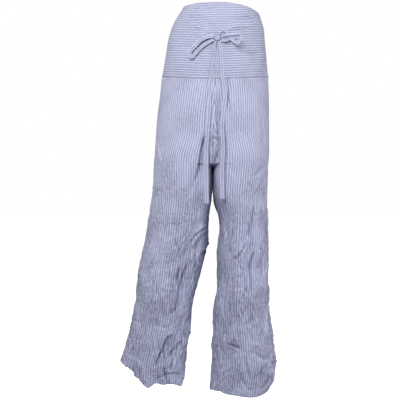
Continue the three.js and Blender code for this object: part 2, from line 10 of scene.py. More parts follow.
import bpy
import numpy as np
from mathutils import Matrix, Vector


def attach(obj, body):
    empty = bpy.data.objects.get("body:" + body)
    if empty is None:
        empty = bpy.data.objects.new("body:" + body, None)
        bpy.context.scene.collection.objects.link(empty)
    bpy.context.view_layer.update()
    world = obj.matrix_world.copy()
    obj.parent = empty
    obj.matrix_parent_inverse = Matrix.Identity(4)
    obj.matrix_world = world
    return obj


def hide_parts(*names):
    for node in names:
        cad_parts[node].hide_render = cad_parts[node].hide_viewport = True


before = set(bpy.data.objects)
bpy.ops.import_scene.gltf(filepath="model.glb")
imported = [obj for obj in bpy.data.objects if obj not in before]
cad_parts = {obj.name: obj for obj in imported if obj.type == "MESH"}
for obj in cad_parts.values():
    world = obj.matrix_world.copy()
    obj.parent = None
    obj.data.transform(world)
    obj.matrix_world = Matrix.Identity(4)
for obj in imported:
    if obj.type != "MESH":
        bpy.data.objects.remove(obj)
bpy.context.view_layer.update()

bl_info = {
    "name": "Wrap Pants",
    "version": (1, 0, 0),
    "blender": (4, 5, 0),
    "location": "View3D > Sidebar > Wrap Pants",
    "description": "Striped crinkled cotton wrap pants, tied in a bow in front",
    "category": "Object",
}

MM = 0.001

CLOTH = 1.0 * MM
CAD_WALL = 1.4 * MM

# Powers of the rounded sections: of the hips and outer legs, and inside the thighs and calves.
ROUND = 2.15
THIGH_POWER = 3.8
CALF_POWER = 2.3
# Heights where the hips turn into legs, and where the U of the crotch seam starts and ends.
DIVIDE = -240 * MM
FORK = -335 * MM
CROTCH = -374 * MM
CROTCH_ROW = -400 * MM
FORK_SHARE = {"front": 0.74, "back": 0.84}
FORK_TURN = {"front": 0.55, "back": 2.0}
THIGHS_PART = -395 * MM
THIGHS_APART = -500 * MM
# The seam below the band, and the heights where the rows level out below it and bend to the hem.
SEAM_LEVEL = -98 * MM
SEAM_DIP = {"front": -14 * MM, "back": -4 * MM}
SEAM_FADE = -190 * MM
HEM_START = -740 * MM

# The grids. Outer columns are a share of a leg panel's, and rows bend inside a share of them.
BAND_COLUMNS = 150
BAND_ROWS = 64
LEG_COLUMNS = 120
OUTER_COLUMNS = 10 / 16
HIP_ROWS = 78
FORK_ROWS = 22
LEG_ROWS = 200
ROWS_BEND = 0.4
SEAM_PULL = 0.7
SECTION_STEPS = 64
CURVE_STEPS = 24
DEPTH_STEPS = 128
# Small steps along a section and down it, from which slopes are taken.
SHARE_STEP = 0.003
LEVEL_STEP = 0.5 * MM
# Seeds of the random draws, for the legs and for the halves of the band.
SEEDS = {"left": 20, "right": 10, "front": 30, "back": 31}


def table(columns, *rows):
    """Named columns from rows of numbers."""
    return dict(zip(columns.split(), np.array(rows, float).T))


def in_metres(rows, *unscaled):
    """The same table with its columns in metres, apart from the named ones."""
    return {name: column if name in unscaled else column * MM for name, column in rows.items()}


HIPS = in_metres(table(
    "z right left front back mid",
    (100, -86, 118, -82, 84, 2),
    (66, -108, 120, -90, 91, 3),
    (33, -124, 129, -97, 97, 2),
    (0, -132, 132, -101, 103, 0),
    (-40, -139, 135.5, -105, 112, -2),
    (-98, -149, 140.5, -108, 120, -4),
    (-148, -154.5, 143, -111, 124, -6.5),
    (-213, -162.5, 143.5, -113, 124, -9),
    (-295, -168, 143, -111, 119, -11.2),
    (-344, -171, 140.5, -107, 114, -11.7),
    (-380, -173, 139, -104, 111, -11.7),
))
RIGHT_LEG = in_metres(table(
    "z outer inner front back",
    (-344, -171, -11.9, -107, 114),
    (-374, -172.5, -12, -104, 111),
    (-426, -176.5, -14, -100, 107),
    (-475, -184.5, -20.5, -96, 103),
    (-541, -195.5, -24, -92, 99),
    (-573, -203.5, -29, -91, 97),
    (-639, -214.5, -45.5, -89, 93),
    (-704, -220, -64, -87, 90),
    (-770, -233.5, -70, -83, 86),
    (-835, -250, -80.5, -79, 82),
    (-876, -262, -85, -76, 79),
    (-935, -264, -88, -74, 77),
))
LEFT_LEG = in_metres(table(
    "z outer inner front back",
    (-344, 140.5, -11.5, -107, 114),
    (-374, 139.5, -11.4, -104, 111),
    (-426, 137.5, -8.5, -101, 108),
    (-475, 138.5, 5, -99, 106),
    (-508, 140.5, 8.5, -98, 105),
    (-573, 140.5, 1.5, -96, 102),
    (-672, 140.5, 1, -94, 98),
    (-737, 143.5, -9, -90, 94),
    (-803, 153.5, -10, -85, 89),
    (-868, 162, -12.5, -81, 85),
    (-906, 158, -16, -79, 83),
    (-957, 152, -17, -78, 81),
))
TOP_EDGE = in_metres(table(
    "angle z",
    (0, 52), (10, 64), (20, 73), (35, 80), (50, 87), (65, 92), (90, 96), (115, 95),
    (150, 92), (180, 95), (225, 88), (270, 82), (315, 66), (360, 52),
), "angle")
HEMS = {
    "right": {
        "level": -920 * MM,
        "front": in_metres(table(
            "share z",
            (0, -868), (0.05, -872), (0.08, -870), (0.12, -875), (0.16, -874), (0.2, -881),
            (0.24, -880), (0.29, -889), (0.31, -890), (0.345, -906), (0.37, -907), (0.41, -920),
            (0.47, -933), (0.505, -928), (0.545, -921), (0.61, -925), (0.7, -924),
            (0.78, -930), (0.83, -933), (0.88, -925), (0.93, -915), (1, -907),
        ), "share"),
        "back": in_metres(table(
            "share z", (0, -868), (0.2, -880), (0.5, -899), (0.8, -906), (1, -907),
        ), "share"),
    },
    "left": {
        "level": -940 * MM,
        "front": in_metres(table(
            "share z",
            (0, -906), (0.1, -921), (0.2, -943), (0.3, -954), (0.36, -957.5), (0.48, -956.5),
            (0.56, -953), (0.67, -949), (0.73, -944), (0.81, -944), (0.92, -946), (1, -950),
        ), "share"),
        "back": in_metres(table(
            "share z", (0, -906), (0.25, -918), (0.6, -930), (1, -950),
        ), "share"),
    },
}

# Creases as seen on the front or back, in millimetres: half width and depth of the trough, the
# share of its depth that rises in a ridge beside it and on which side, and its line as x, z, x,
# z. FOLDS are the large ones, which the part has too, and CREASES are the finer ones.
FOLDS = {
    "front": (
        (12, 4.5, 0.5, (-96, 66, -70, 54, -34, 42, -12, 12)),
        (12, 4, -0.5, (108, 50, 72, 52, 36, 42, 14, 10)),
        (13, 7, 0.6, (-31, -254, -37, -299, -45, -339, -56, -375, -72, -431)),
        (10, 5, -0.6, (6, -130, 2, -200, 10, -262, 2, -318)),
        (15, 8, 0.7, (103, -405, 87, -471, 79, -537, 87, -596, 77, -643, 87, -776)),
        (12, 5, -0.5, (118, -560, 112, -640, 121, -720, 116, -800)),
        (12, 5, 0.6, (-36, -470, -58, -520, -62, -580)),
        (11, 1.4, 0.6, (-215, -668, -170, -676, -138, -668)),
        (12, 1.4, 0.5, (-226, -762, -180, -772, -128, -764)),
        (14, 4, -0.6, (-112, -784, -130, -830, -151, -882)),
        (10, 1.6, 0.6, (20, -818, 44, -830, 66, -826)),
    ),
    "back": (
        (14, 4, 0.2, (-104, -250, -74, -300, -40, -356)),
        (13, 3.5, -0.2, (84, -262, 52, -310, 14, -362)),
        (15, 7, 0.6, (-120, -450, -132, -560, -150, -650)),
        (15, 7, 0.6, (84, -430, 70, -540, 80, -660, 72, -760)),
        (12, 2, 0.5, (-205, -690, -160, -700, -120, -690)),
        (12, 2, 0.5, (20, -700, 70, -712, 120, -702)),
    ),
}
CREASES = {
    "front": (
        (4, 2.2, 0.5, (-85, 57, -70, 51, -49, 40, -33, 12)),
        (4, 1.6, 0.4, (-66, 73, -55, 76, -45, 75)),
        (4, 1.2, -0.4, (-30, 77, -18, 78, -6, 77)),
        (4, 1.6, 0.5, (42, 25, 41, 19, 40, 13)),
        (4, 2.2, -0.5, (110, 48, 81, 53, 60, 47, 40, 40)),
        (5, 1.2, 0.5, (-62, 22, -34, 14, -12, 3)),
        (5, 1.2, -0.5, (16, 6, 48, 17, 92, 24)),
        (5, 1.0, 0.5, (-100, -20, -60, -30, -24, -22)),
        (6, 1.0, -0.5, (40, -34, 84, -44, 122, -38)),
        (4, 3, 0.5, (-29, -256, -36, -278, -41, -306, -48, -347, -54, -370, -61, -392)),
        (4, 2, 0.6, (-41, -366, -50, -392, -60, -424)),
        (3.5, 1.8, 0.5, (-34, -330, -44, -356, -49, -380)),
        (4, 1.5, 0.4, (-155, -280, -152, -300, -150, -330)),
        (4, 0.9, 0.5, (-170, -408, -154, -408, -140, -416)),
        (3, 1.2, 0.5, (52, -242, 58, -247, 66, -252)),
        (6, 1.8, 0.5, (118, -215, 124, -250, 125, -283)),
        (5, 1.1, 0.6, (84, -372, 107, -363, 126, -338)),
        (5, 1.5, -0.6, (100, -424, 118, -387, 128, -360)),
        (3.5, 2, 0.6, (-16, -140, -18, -180, -20, -215, -22, -246)),
        (4, 2.2, -0.6, (27, -96, 30, -135, 28, -175, 24, -205)),
        (3.5, 2.2, 0.5, (-4, -160, -8, -178, -10, -196)),
        (3.5, 2.2, -0.5, (5, -198, 10, -212, 14, -226)),
        (3.5, 2, 0.5, (-1, -226, 3, -244, 6, -264)),
        (4, 1.2, 0.6, (-12, -276, 0, -290, 12, -308)),
        (4, 1.2, 0.6, (-14, -296, -4, -312, 8, -328)),
        (4, 1.4, -0.6, (20, -256, 23, -288, 20, -318)),
        (4, 1.2, 0.6, (10, -290, 0, -316, -12, -340)),
        (4.5, 3.6, 0.7, (-20, -512, -43, -536, -55, -556, -58, -603, -61, -666, -69, -704)),
        (4, 2.6, 0.5, (-20, -560, -36, -572, -48, -600, -52, -640)),
        (4, 3.4, 0.6, (
            -70, -584, -82, -608, -92, -633, -99, -660, -104, -690, -110, -721, -127, -745,
        )),
        (3.5, 2.8, 0.6, (-34, -512, -52, -540, -66, -566, -73, -590)),
        (3.5, 2.6, 0.6, (-22, -500, -42, -514, -56, -526, -75, -552)),
        (3.5, 1.8, 0.5, (-101, -604, -105, -640, -107, -680, -109, -720)),
        (3.2, 2, 0.6, (-101, -606, -107, -644, -111, -668)),
        (5, 0.7, 0.6, (-206, -672, -192, -655, -168, -652, -152, -671, -125, -680)),
        (4.5, 0.8, 0.6, (-176, -766, -155, -767, -139, -772, -122, -763)),
        (4, 3.4, 0.7, (-110, -786, -133, -801, -141, -821, -150, -839, -160, -863, -170, -886)),
        (4.5, 2.8, 0.6, (-94, -806, -107, -825, -123, -842, -132, -860)),
        (3.5, 1.9, -0.6, (-164, -914, -150, -904, -131, -898, -104, -898, -92, -908)),
        (5, 2, 0.5, (-190, -706, -185, -724, -178, -742)),
        (4, 1, 0.5, (-228, -756, -214, -758, -202, -764)),
        (4, 1.5, -0.5, (-192, -772, -192, -786, -190, -800)),
        (5, 1.8, 0.5, (-130, -736, -120, -730, -110, -718)),
        (5, 0.8, 0.6, (-250, -842, -217, -853, -194, -868)),
        (5, 3.5, 0.7, (-69, -738, -82, -764, -85, -793, -78, -808)),
        (6, 3, 0.6, (103, -436, 92, -484, 84, -518, 91, -540)),
        (4.5, 2.4, 0.6, (79, -545, 68, -566, 42, -596)),
        (5, 3, 0.6, (102, -556, 90, -592, 86, -629, 89, -656, 87, -694)),
        (5, 2.8, -0.6, (112, -547, 123, -582, 125, -614, 120, -644)),
        (5, 2.6, 0.6, (109, -676, 103, -706, 97, -734, 84, -768)),
        (3.5, 2.4, 0.7, (22, -817, 38, -819, 52, -825, 64, -830)),
        (6, 2, -0.6, (106, -838, 119, -854, 137, -855, 151, -834)),
        (3.5, 3.6, 0.4, (155, -852, 150, -872, 146, -890)),
        (7, 2.4, 0.5, (123, -722, 131, -769, 118, -803)),
        (5, 2.2, 0.6, (6, -728, 14, -766, 21, -801, 23, -830)),
        (5, 2, 0.5, (20, -482, 24, -508, 28, -550, 36, -592)),
        (5, 1.8, 0.5, (49, -642, 56, -677, 70, -700)),
        (5, 1.8, -0.5, (73, -845, 81, -882, 88, -918)),
        (4, 2, 0.6, (114, -940, 134, -924, 145, -902)),
        (4, 1.8, 0.5, (10, -826, 16, -846, 14, -868)),
    ),
    "back": (
        (5, 1.4, 0.5, (-70, 30, -20, 22, 40, 30)),
        (5, 1.2, -0.5, (60, -10, 96, -24, 122, -20)),
        (5, 1.2, 0.5, (-120, -40, -80, -52, -40, -46)),
        (5, 2.4, 0.6, (-30, -250, -34, -300, -26, -340)),
        (5, 2.2, -0.6, (18, -240, 14, -290, 4, -336)),
        (5, 1.5, 0.6, (-24, -372, -44, -388, -72, -398)),
        (5, 1.3, -0.6, (6, -370, 26, -396, 40, -430, 44, -462)),
        (5, 2.4, 0.6, (-96, -470, -108, -540, -118, -600)),
        (4.5, 2.4, 0.6, (-160, -560, -176, -620, -180, -668)),
        (5, 2.8, 0.6, (-86, -640, -104, -700, -110, -752)),
        (5, 1.2, -0.6, (-210, -740, -180, -752, -140, -744)),
        (5, 3, 0.6, (-120, -790, -150, -840, -172, -880)),
        (5, 2.4, 0.6, (110, -470, 100, -540, 106, -600)),
        (4.5, 2.2, -0.6, (40, -520, 30, -580, 36, -640)),
        (5, 3, 0.6, (96, -640, 90, -700, 98, -760)),
        (5, 1.2, 0.6, (24, -760, 60, -772, 110, -764)),
        (5, 2.6, -0.6, (60, -800, 40, -850, 44, -900)),
        (4.5, 2.2, 0.6, (128, -700, 136, -760, 128, -820)),
        (5, 2, 0.5, (118, -300, 96, -360, 100, -410)),
        (5, 2, -0.5, (-140, -300, -120, -360, -128, -410)),
    ),
}
# What the depths of creases and folds are multiplied by, and on the legs the share of the
# creases' ridges and widths that is kept.
CREASED = 2.5
FOLDED = 1.3
CREASE_RAISED = 0.6
CREASE_NARROWED = 0.8
# The share of a fold's length over which it fades at an end, how far it reaches and where its
# ridge lies, both in half widths, and the steps for each point of its line.
FOLD_TAPER = 0.22
FOLD_REACH = 4
LIP_AT = 1.7
FOLD_STEPS = 6

# In front, the cloth bridges the hollow above the crotch by a share of its depth, up to
# BRIDGE_BEHIND the section's foremost line, and the thighs open below it. Behind, they draw
# together. Each works between four heights: it grows from the first to the second, and fades
# from the third to the fourth. Widths are distances from the inner seam where it starts and
# is whole, and so are depths from front to back.
BRIDGED = 0.85
BRIDGE_BEHIND = 6 * MM
BRIDGE_LEVELS = np.array([-245, -310, -334, -346]) * MM
BRIDGE_WIDTH = (27 * MM, 5 * MM)
OPENED = {"left": 8 * MM, "right": 6 * MM}
OPEN_LEVELS = np.array([-337, -347, -415, -470]) * MM
OPEN_DEPTH = (-25 * MM, -85 * MM)
CLOSED = -2.6 * MM
CLOSED_LEVELS = np.array([-374, -420, -430, -446]) * MM
CLOSED_DEPTH = (15 * MM, 60 * MM)
THIGH_WIDTH = (60 * MM, 20 * MM)
SEAM_KEPT = 4 * MM

# Crinkle of the legs: its depth at the hips and at the calves, and the heights between which
# it grows. Waves have their number, and the shortest and the longest; crumple and the finer
# crinkle have the shortest and the longest, and the share of it that is left down the leg.
CRINKLE_DEEP = (0.7 * MM, 2.9 * MM)
CRINKLE_LEVELS = (-200 * MM, -700 * MM)
LEG_WAVES = (14, 55 * MM, 130 * MM)
LEG_WAVES_SHARE = 0.35
LEG_CRUMPLE = (34 * MM, 80 * MM)
LEG_CRINKLE = (11 * MM, 24 * MM)
CRUMPLE_SHARE = 0.5
CRUMPLE_LONG = 0.5
CRINKLE_LONG = 0.4
LEG_CREASES = {"count": 520, "reach": (-290 * MM, 290 * MM), "top": -120 * MM}
# Beside the outseam the crinkle is stronger, once below the hips.
OUTSIDE = {"more": 0.25, "place": 12 * MM, "wide": 34 * MM, "levels": (-150 * MM, -450 * MM)}
# Beside the seams it is calmer: the widths of cloth they hold flat, and the shares kept there.
CALM = {"outer": 4 * MM, "inner": 14 * MM, "wide": 14 * MM, "less": 0.55, "leg": 0.3}
CALM_BAND = {"wide": 6 * MM, "kept": 0.2}
# Crinkle of the band: the same, with its depths. Its short creases run round, and lie closer.
BAND_WAVES = (12, 60 * MM, 150 * MM)
BAND_WAVES_DEEP = 0.7 * MM
BAND_WAVES_LONG = 0.5
BAND_CRUMPLE = (14 * MM, 40 * MM)
BAND_CRUMPLE_DEEP = 0.22 * MM
BAND_CRUMPLE_LONG = 0.6
BAND_CREASES = {
    "count": 60, "reach": (-200 * MM, 180 * MM), "end": 450 * MM, "deep": 0.45 * MM,
    "closer": 2,
}
# Number of waves in a crumple and its middle height, and the ranges of short creases: lengths
# and widths in millimetres, depths as shares, and how they lean, bend and crowd downwards.
FACETS = 24
FACETS_MIDDLE = 0.6
SHORT = {
    "long": (10, 44), "wide": (1.9, 4.2), "deep": (0.3, 1.7), "lean": 0.3, "bend": 3.0,
    "crowd": 0.8, "across": 0.08, "across_lean": (0.8, 2.0), "across_deep": 0.5,
    "ridge": 0.7, "ridge_at": 1.2, "reach": (2.2, 4),
}
# Sewing: grooves at the seams, gathers under the band, puckers beside the outseam, turned edges
# and the rows of stitches.
GROOVE = {"deep": 0.5 * MM, "wide": 2 * MM}
GATHER = {"deep": 0.5 * MM, "pitch": 7 * MM, "reach": 9 * MM}
PUCKER = {"deep": 0.4 * MM, "pitch": 11 * MM, "place": 5 * MM, "wide": 4 * MM}
SEAM_TURN = {"step": 0.5 * MM, "at": (4 * MM, 2.5 * MM)}
HEM_SEWN = {
    "step": 0.7 * MM, "ends": (18 * MM, 21 * MM), "pull": 0.5 * MM,
    "pull_at": (19 * MM, 2 * MM), "row": 18 * MM,
}
BAND_EDGE = {"step": 0.6 * MM, "ends": (6 * MM, 8 * MM), "rows": (2 * MM, 5.5 * MM)}
TOP_TURN = {"step": 0.5 * MM, "ends": (7 * MM, 9 * MM), "row": 7 * MM}
STITCH = {"pitch": 3.2 * MM, "long": 2.3 * MM, "wide": 0.35 * MM, "tapered": 0.35, "sides": 6}

# The tie: its strip, the routes that its stretches follow and how they lie.
TIE = {"thick": 1.6 * MM, "narrow": 9 * MM, "end": 14 * MM, "clear": 0.6 * MM}
TIE_STARTS = {"right": 6 * MM, "left": 8.5 * MM}
TIE_INSIDE = 1 * MM
STRIP_POWER = 4
STRIP_SIDES = 16
STRIP_PUCKER = {"share": 0.06, "turn": 9 * MM}
KNOT = {"x": 1 * MM, "z": -4 * MM, "half": np.array([8, 5.2, 8]) * MM, "stand_off": 1.2 * MM}
KNOT_POWER = 2.6
KNOT_LEAN = (0.8, 0.6)
KNOT_FURROWS = {"deep": 0.09, "turn": 9.0, "level": 0.97, "sunk": 0.05}
NECK_APART = 1.4 * MM
NECK_CLEAR = 0.3 * MM
NECK_BEND = np.array([[2.4, 1.4], [6, 2]]) * MM
END_ROUTES = {
    "right": np.array([
        (-4.5, -11.8), (-6, -30), (-9, -62), (-14, -88), (-16, -109), (-18.5, -141),
        (-21, -181), (-25, -247), (-29, -299), (-29, -352), (-28, -442),
    ]) * MM,
    "left": np.array([
        (4.5, -11.8), (9, -27), (12.5, -67), (14.5, -111), (20.5, -143), (20.5, -166),
        (17, -188), (13.5, -240), (15.5, -299), (12.5, -357), (14, -429),
    ]) * MM,
}
LOOP_ROUTES = {
    "right": np.array([
        (-7.7, 5.5, 0), (-22, 6.5, 0), (-38, 6, -6), (-58, 4.5, -23.5), (-72, 3, -40.5),
        (-72, 3, -50), (-66, 3, -53.5), (-58, 4, -44), (-40, 5, -26), (-22, 5, -14),
        (-7.9, 5, -6.5),
    ]) * MM,
    "left": np.array([
        (9.7, 6, -3), (22, 7, 0), (33, 9, 1), (48, 12, 3), (58, 14, 3), (60, 13, -3),
        (57, 12, -13), (51, 11, -17), (43, 10, -11), (34, 7, -5), (27, 5, -8), (20, 5.5, -10),
        (10, 5, -9),
    ]) * MM,
}
KNOT_FOLD_ROUTE = np.array([
    (6.2, 6.5, 4.1), (10, 8.5, 10.5), (17, 9.5, 12.5), (24, 9, 9), (21, 8, 4.5),
    (9.9, 6.5, 1.4),
]) * MM
KNOT_FOLD_WIDTH = 7 * MM
LOOP_TILTS = {"right": (-0.35, 0.5), "left": (-0.9, -0.3)}
KNOT_FOLD_TILT = (-1.0, -0.6)
LOOP_STEPS = 90
KNOT_FOLD_STEPS = 30
TIE_FOLLOWS = 0.1
END_WIDE_BY = 0.8
END_NEAR = (1 * MM, 4 * MM)
RING_LAID = 0.93

# Looks: the width of a pair of stripes, where they lie on the tie, how much rougher the cloth
# is beside the outseam and how much less at the top, with the distances between which that
# changes, the painted shade of the tie and the band (shares that darken the same cotton's
# colours beside those of the legs), and how rough each is.
STRIPE = 6.35 * MM
STRIPE_SHIFT = STRIPE / 2
OUTER_CRUMPLE = 1.4
OUTER_WIDTH = (0.03, 0.09)
CRUMPLE_ABOVE = 0.4
CRUMPLE_DOWN = (0.1, 0.6)
# Painted shade: the tie and the band are the same cotton as the legs, darkened by these shares.
TIE_PAINTED_SHADE = 0.92
BAND_PAINTED_SHADE = 0.92
CRUMPLE = {"band": 0.5, "legs": 1.0, "tie": 0.4}
THREAD_SHADE = 0.8
# How far the stripes wander and blur, the yarn's shade, and how unevenly each channel is dyed.
WANDER = 1.1 * MM
STRIPE_BLUR = 0.05
YARN_TONE = 0.24
CLOUDED = {"Red": 0.07, "Green": 0.05, "Blue": 0.03}
# What a pattern between 0 and 1 is multiplied by and what is added to it: for half the blue
# stripe's share of a repeat, the puckers by the stripe, and how rough cloth and thread are.
BLUE_HALF = (0.14, 0.18)
PUCKERED = (0.8, 0.3)
COTTON_ROUGH = (0.12, 0.78)
THREAD_ROUGH = (0.2, 0.6)
# Between which values of a pattern the stripes wear pale and the wrinkles gather, and how
# much of them there is at each.
WORN = (0.42, 0.66, 1.0, 0.55)
GATHERED = (0.38, 0.62, 0.5, 1.5)
# Scales of the patterns, for each metre: the same all ways, and then across and along the
# stripes. Depths of the wrinkles and the weave are in millimetres.
SCALES = {
    "wander": 55.0, "width": 210.0, "worn": 70.0, "dye": 18.0, "gathered": 14.0,
    "fibre": 1800.0,
}
YARN_SCALE = (2400.0, 300.0, 1.0)
WEAVE_SCALE = (2600.0, 2200.0, 1.0)
PUCKER_SCALE = (150.0, 310.0, 1.0)
WRINKLE_SCALE = (150.0, 62.0, 1.0)
WRINKLE_DEEP = 15.0
WEAVE_DEEP = 0.06

# Where the stripes are pulled askew in front of the crotch, at its foot and above it.
PULL_LOW = {"across": (4 * MM, 16 * MM), "level": -300 * MM, "high": 38 * MM, "lean": 1.2}
PULL_HIGH = {
    "across": (3 * MM, 12 * MM), "down": (-215 * MM, 60 * MM), "sway": 2.5 * MM, "turn": 8 * MM,
}

# The camera's place, and half of what it sees in the upright plane through the waist's middle.
CAMERA_PLACE = (-45.2 * MM, -3.2, -431.4 * MM)
SEEN_HALF = 0.546
SENSOR = 36
FLOOR_HALF = 40.0
FLOOR_COLOUR = (0.46, 0.48, 0.58, 1)
# Each light's place, what it is aimed at, its size, and its share of a setting's power.
LIGHTS = {
    "Key": ((-0.45, -1.4, 0.75), (0, 0, -0.4), (0.9, 0.6), "key_power", 1),
    "Fill": ((1.8, -1.0, 0.1), (0, 0, -0.45), (0.8, 1.2), "fill_power", 1),
    "Side": ((-1.9, -0.4, 0.2), (0, 0, -0.4), (0.8, 1.4), "fill_power", 0.45),
    "Back": ((0.4, 1.6, 1.0), (0, 0, -0.3), (1.4, 0.8), "key_power", 0.8),
}


def mix(a, b, share):
    """a at a share of 0, b at 1, and evenly between."""
    return a + (b - a) * share


def smooth_step(start, end, value):
    """0 before start, 1 after end, and a cubic with level ends between them."""
    share = np.clip((value - start) / (end - start), 0, 1)
    return share * share * (3 - 2 * share)


def window(levels, value):
    """1 between the middle two of four levels, falling smoothly to 0 at the outer ones."""
    return smooth_step(levels[0], levels[1], value) * smooth_step(levels[3], levels[2], value)


def unit(vectors):
    """The same vectors with a length of 1."""
    return vectors / np.linalg.norm(vectors, axis=-1, keepdims=True)


def lengths_along(line):
    """Distance of each point of a line from its first one, along the line."""
    return np.concatenate([[0], np.cumsum(np.linalg.norm(np.diff(line, axis=0), axis=1))])


def outward(side, face):
    """1 where a panel's grid turns outwards, and -1 where it turns inwards."""
    return side if face == "front" else -side


def look_up(rows, key, place, column):
    """A column's values at places along a table: a cubic between rows, with the rows' slopes."""
    keys, values = rows[key], rows[column]
    slopes = np.empty(len(keys))
    slopes[1:-1] = (values[2:] - values[:-2]) / (keys[2:] - keys[:-2])
    slopes[[0, -1]] = (np.diff(values) / np.diff(keys))[[0, -1]]
    rising = 1 if keys[-1] > keys[0] else -1
    row = np.searchsorted(rising * keys, rising * np.asarray(place)) - 1
    row = np.clip(row, 0, len(keys) - 2)
    span = keys[row + 1] - keys[row]
    s = np.clip((place - keys[row]) / span, 0, 1)
    level = mix(values[row], values[row + 1], s * s * (3 - 2 * s))
    bend = slopes[row] * s * (1 - s) ** 2 + slopes[row + 1] * s * s * (s - 1)
    return level + bend * span


def side_name(side):
    return "left" if side > 0 else "right"


def sizes_at(side, z):
    """Outseam, inseam or middle, and front and back reach of one side of the body at a height."""
    leg = LEFT_LEG if side > 0 else RIGHT_LEG
    on_hips = z > HIPS["z"][-2]

    def pick(hip_column, leg_column):
        return np.where(
            on_hips, look_up(HIPS, "z", z, hip_column), look_up(leg, "z", z, leg_column)
        )

    return {
        "outer": pick(side_name(side), "outer"),
        "inner": pick("mid", "inner"),
        "front": pick("front", "front"),
        "back": pick("back", "back"),
    }


def middle_at(z):
    """Where the centre seam lies across, at a height."""
    return look_up(HIPS, "z", z, "mid")


def round_point(angle, power):
    """A rounded section of half sizes 1 at an angle: |x| and |y| to a power add up to 1."""
    x, y = np.cos(angle), np.sin(angle)
    reach = (np.abs(x) ** power + np.abs(y) ** power) ** (-1 / power)
    return x * reach, y * reach


def hip_point(side, face, share, z):
    """A quarter of the hips' rounded section, from the outseam (0) to the centre seam (1)."""
    sizes = sizes_at(side, z)
    middle = (sizes["front"] + sizes["back"]) / 2
    mid = middle_at(z)
    across, deep = round_point(share * math.pi / 2, ROUND)
    return mid + (sizes["outer"] - mid) * across, middle + (sizes[face] - middle) * deep


def leg_point(side, face, share, z):
    """Half of a leg's section, from the outseam (0) to the inseam (1), flatter at the thighs."""
    sizes = sizes_at(side, z)
    middle = (sizes["front"] + sizes["back"]) / 2
    centre = (sizes["outer"] + sizes["inner"]) / 2
    inside = mix(THIGH_POWER, CALF_POWER, smooth_step(THIGHS_PART, THIGHS_APART, z))
    across, deep = round_point(share * math.pi, np.where(share < 0.5, ROUND, inside))
    return centre + (sizes["outer"] - centre) * across, middle + (sizes[face] - middle) * deep


def seam_share(face, z):
    """Share of the leg's half section where the centre seam lies, down round its U."""
    down = np.clip((FORK - z) / (FORK - CROTCH), 0, 1)
    turn = FORK_TURN[face]
    deep = FORK_SHARE[face] * (1 - down**turn) ** (1 / turn)
    across = (1 - deep**THIGH_POWER) ** (1 / THIGH_POWER)
    return np.where(z <= CROTCH, 1.0, np.arctan2(deep, -across) / math.pi)


FORK_AT = {face: float(seam_share(face, FORK)) for face in ("front", "back")}


def section_point(side, face, share, z):
    """Hips that turn into a leg between two heights, drawn in to the centre seam."""
    turn = smooth_step(DIVIDE, FORK, z)

    def raw(s):
        hip = hip_point(side, face, s / FORK_AT[face], z)
        leg = leg_point(side, face, s, z)
        return mix(hip[0], leg[0], turn), mix(hip[1], leg[1], turn)

    x, y = raw(share)
    seam = seam_share(face, z)
    drawn = smooth_step(SEAM_PULL * seam, seam, share) * (z > CROTCH)
    return x + (middle_at(z) - raw(seam)[0]) * drawn, y


def spaced_shares(side, face, part, z):
    """Shares of a panel's columns at a row of heights, and how far each lies from the outseam.

    Columns are evenly spaced by length, but round the crotch only the inner ones give way to
    its seam. part has one number for each column and z one for each row.
    """
    seam = seam_share(face, z)[:, None]
    steps = np.linspace(0, 1, SECTION_STEPS + 1)[None, :] * seam
    x, y = section_point(side, face, steps, z[:, None] + 0 * steps)
    pieces = np.hypot(np.diff(x, axis=1), np.diff(y, axis=1))
    reached = np.concatenate([np.zeros((len(z), 1)), np.cumsum(pieces, axis=1)], axis=1)
    whole = reached[:, -1:]
    fork_step = np.minimum(1, FORK_AT[face] / seam) * SECTION_STEPS
    below = np.minimum(SECTION_STEPS - 1, np.floor(fork_step)).astype(int)
    to_fork = mix(
        np.take_along_axis(reached, below, 1),
        np.take_along_axis(reached, below + 1, 1),
        fork_step - below,
    )
    even = mix(to_fork, whole, smooth_step(FORK, THIGHS_APART, z)[:, None])
    inner = (part - OUTER_COLUMNS) / (1 - OUTER_COLUMNS)
    wanted = np.where(
        part < OUTER_COLUMNS, part * even, mix(even * OUTER_COLUMNS, whole, inner)
    )
    step = (reached[:, None, :] < wanted[:, :, None]).sum(axis=2).clip(1, SECTION_STEPS)
    start = np.take_along_axis(reached, step - 1, 1)
    end = np.take_along_axis(reached, step, 1)
    within = np.clip((wanted - start) / (end - start), 0, 1)
    return seam * (step - 1 + within) / SECTION_STEPS, wanted


def smooth_route(points, steps):
    """A centripetal curve through points, at even distances: each stretch is a cubic whose end
    slopes weigh the neighbouring points by the square roots of their distances."""
    points = np.asarray(points, float)
    ends = np.concatenate([[2 * points[0] - points[1]], points, [2 * points[-1] - points[-2]]])
    a, b, c, d = ends[:-3], ends[1:-2], ends[2:-1], ends[3:]
    gaps = np.sqrt(np.linalg.norm(np.diff(ends, axis=0), axis=1))[:, None]
    before, own, after = gaps[:-2], gaps[1:-1], gaps[2:]
    leave = ((b - a) / before - (c - a) / (before + own) + (c - b) / own) * own
    arrive = ((c - b) / own - (d - b) / (own + after) + (d - c) / after) * own
    t = np.linspace(0, 1, CURVE_STEPS + 1)[:-1, None, None]
    line = (
        b * (2 * t**3 - 3 * t**2 + 1)
        + leave * (t**3 - 2 * t**2 + t)
        + c * (3 * t**2 - 2 * t**3)
        + arrive * (t**3 - t**2)
    )
    line = np.concatenate([line.transpose(1, 0, 2).reshape(-1, points.shape[1]), points[-1:]])
    return even_line(line, steps)


def even_line(line, steps):
    """The same line with its points at even distances along it."""
    reached = lengths_along(line)
    wanted = np.linspace(0, reached[-1], steps + 1)
    return np.stack([np.interp(wanted, reached, column) for column in line.T], axis=1)


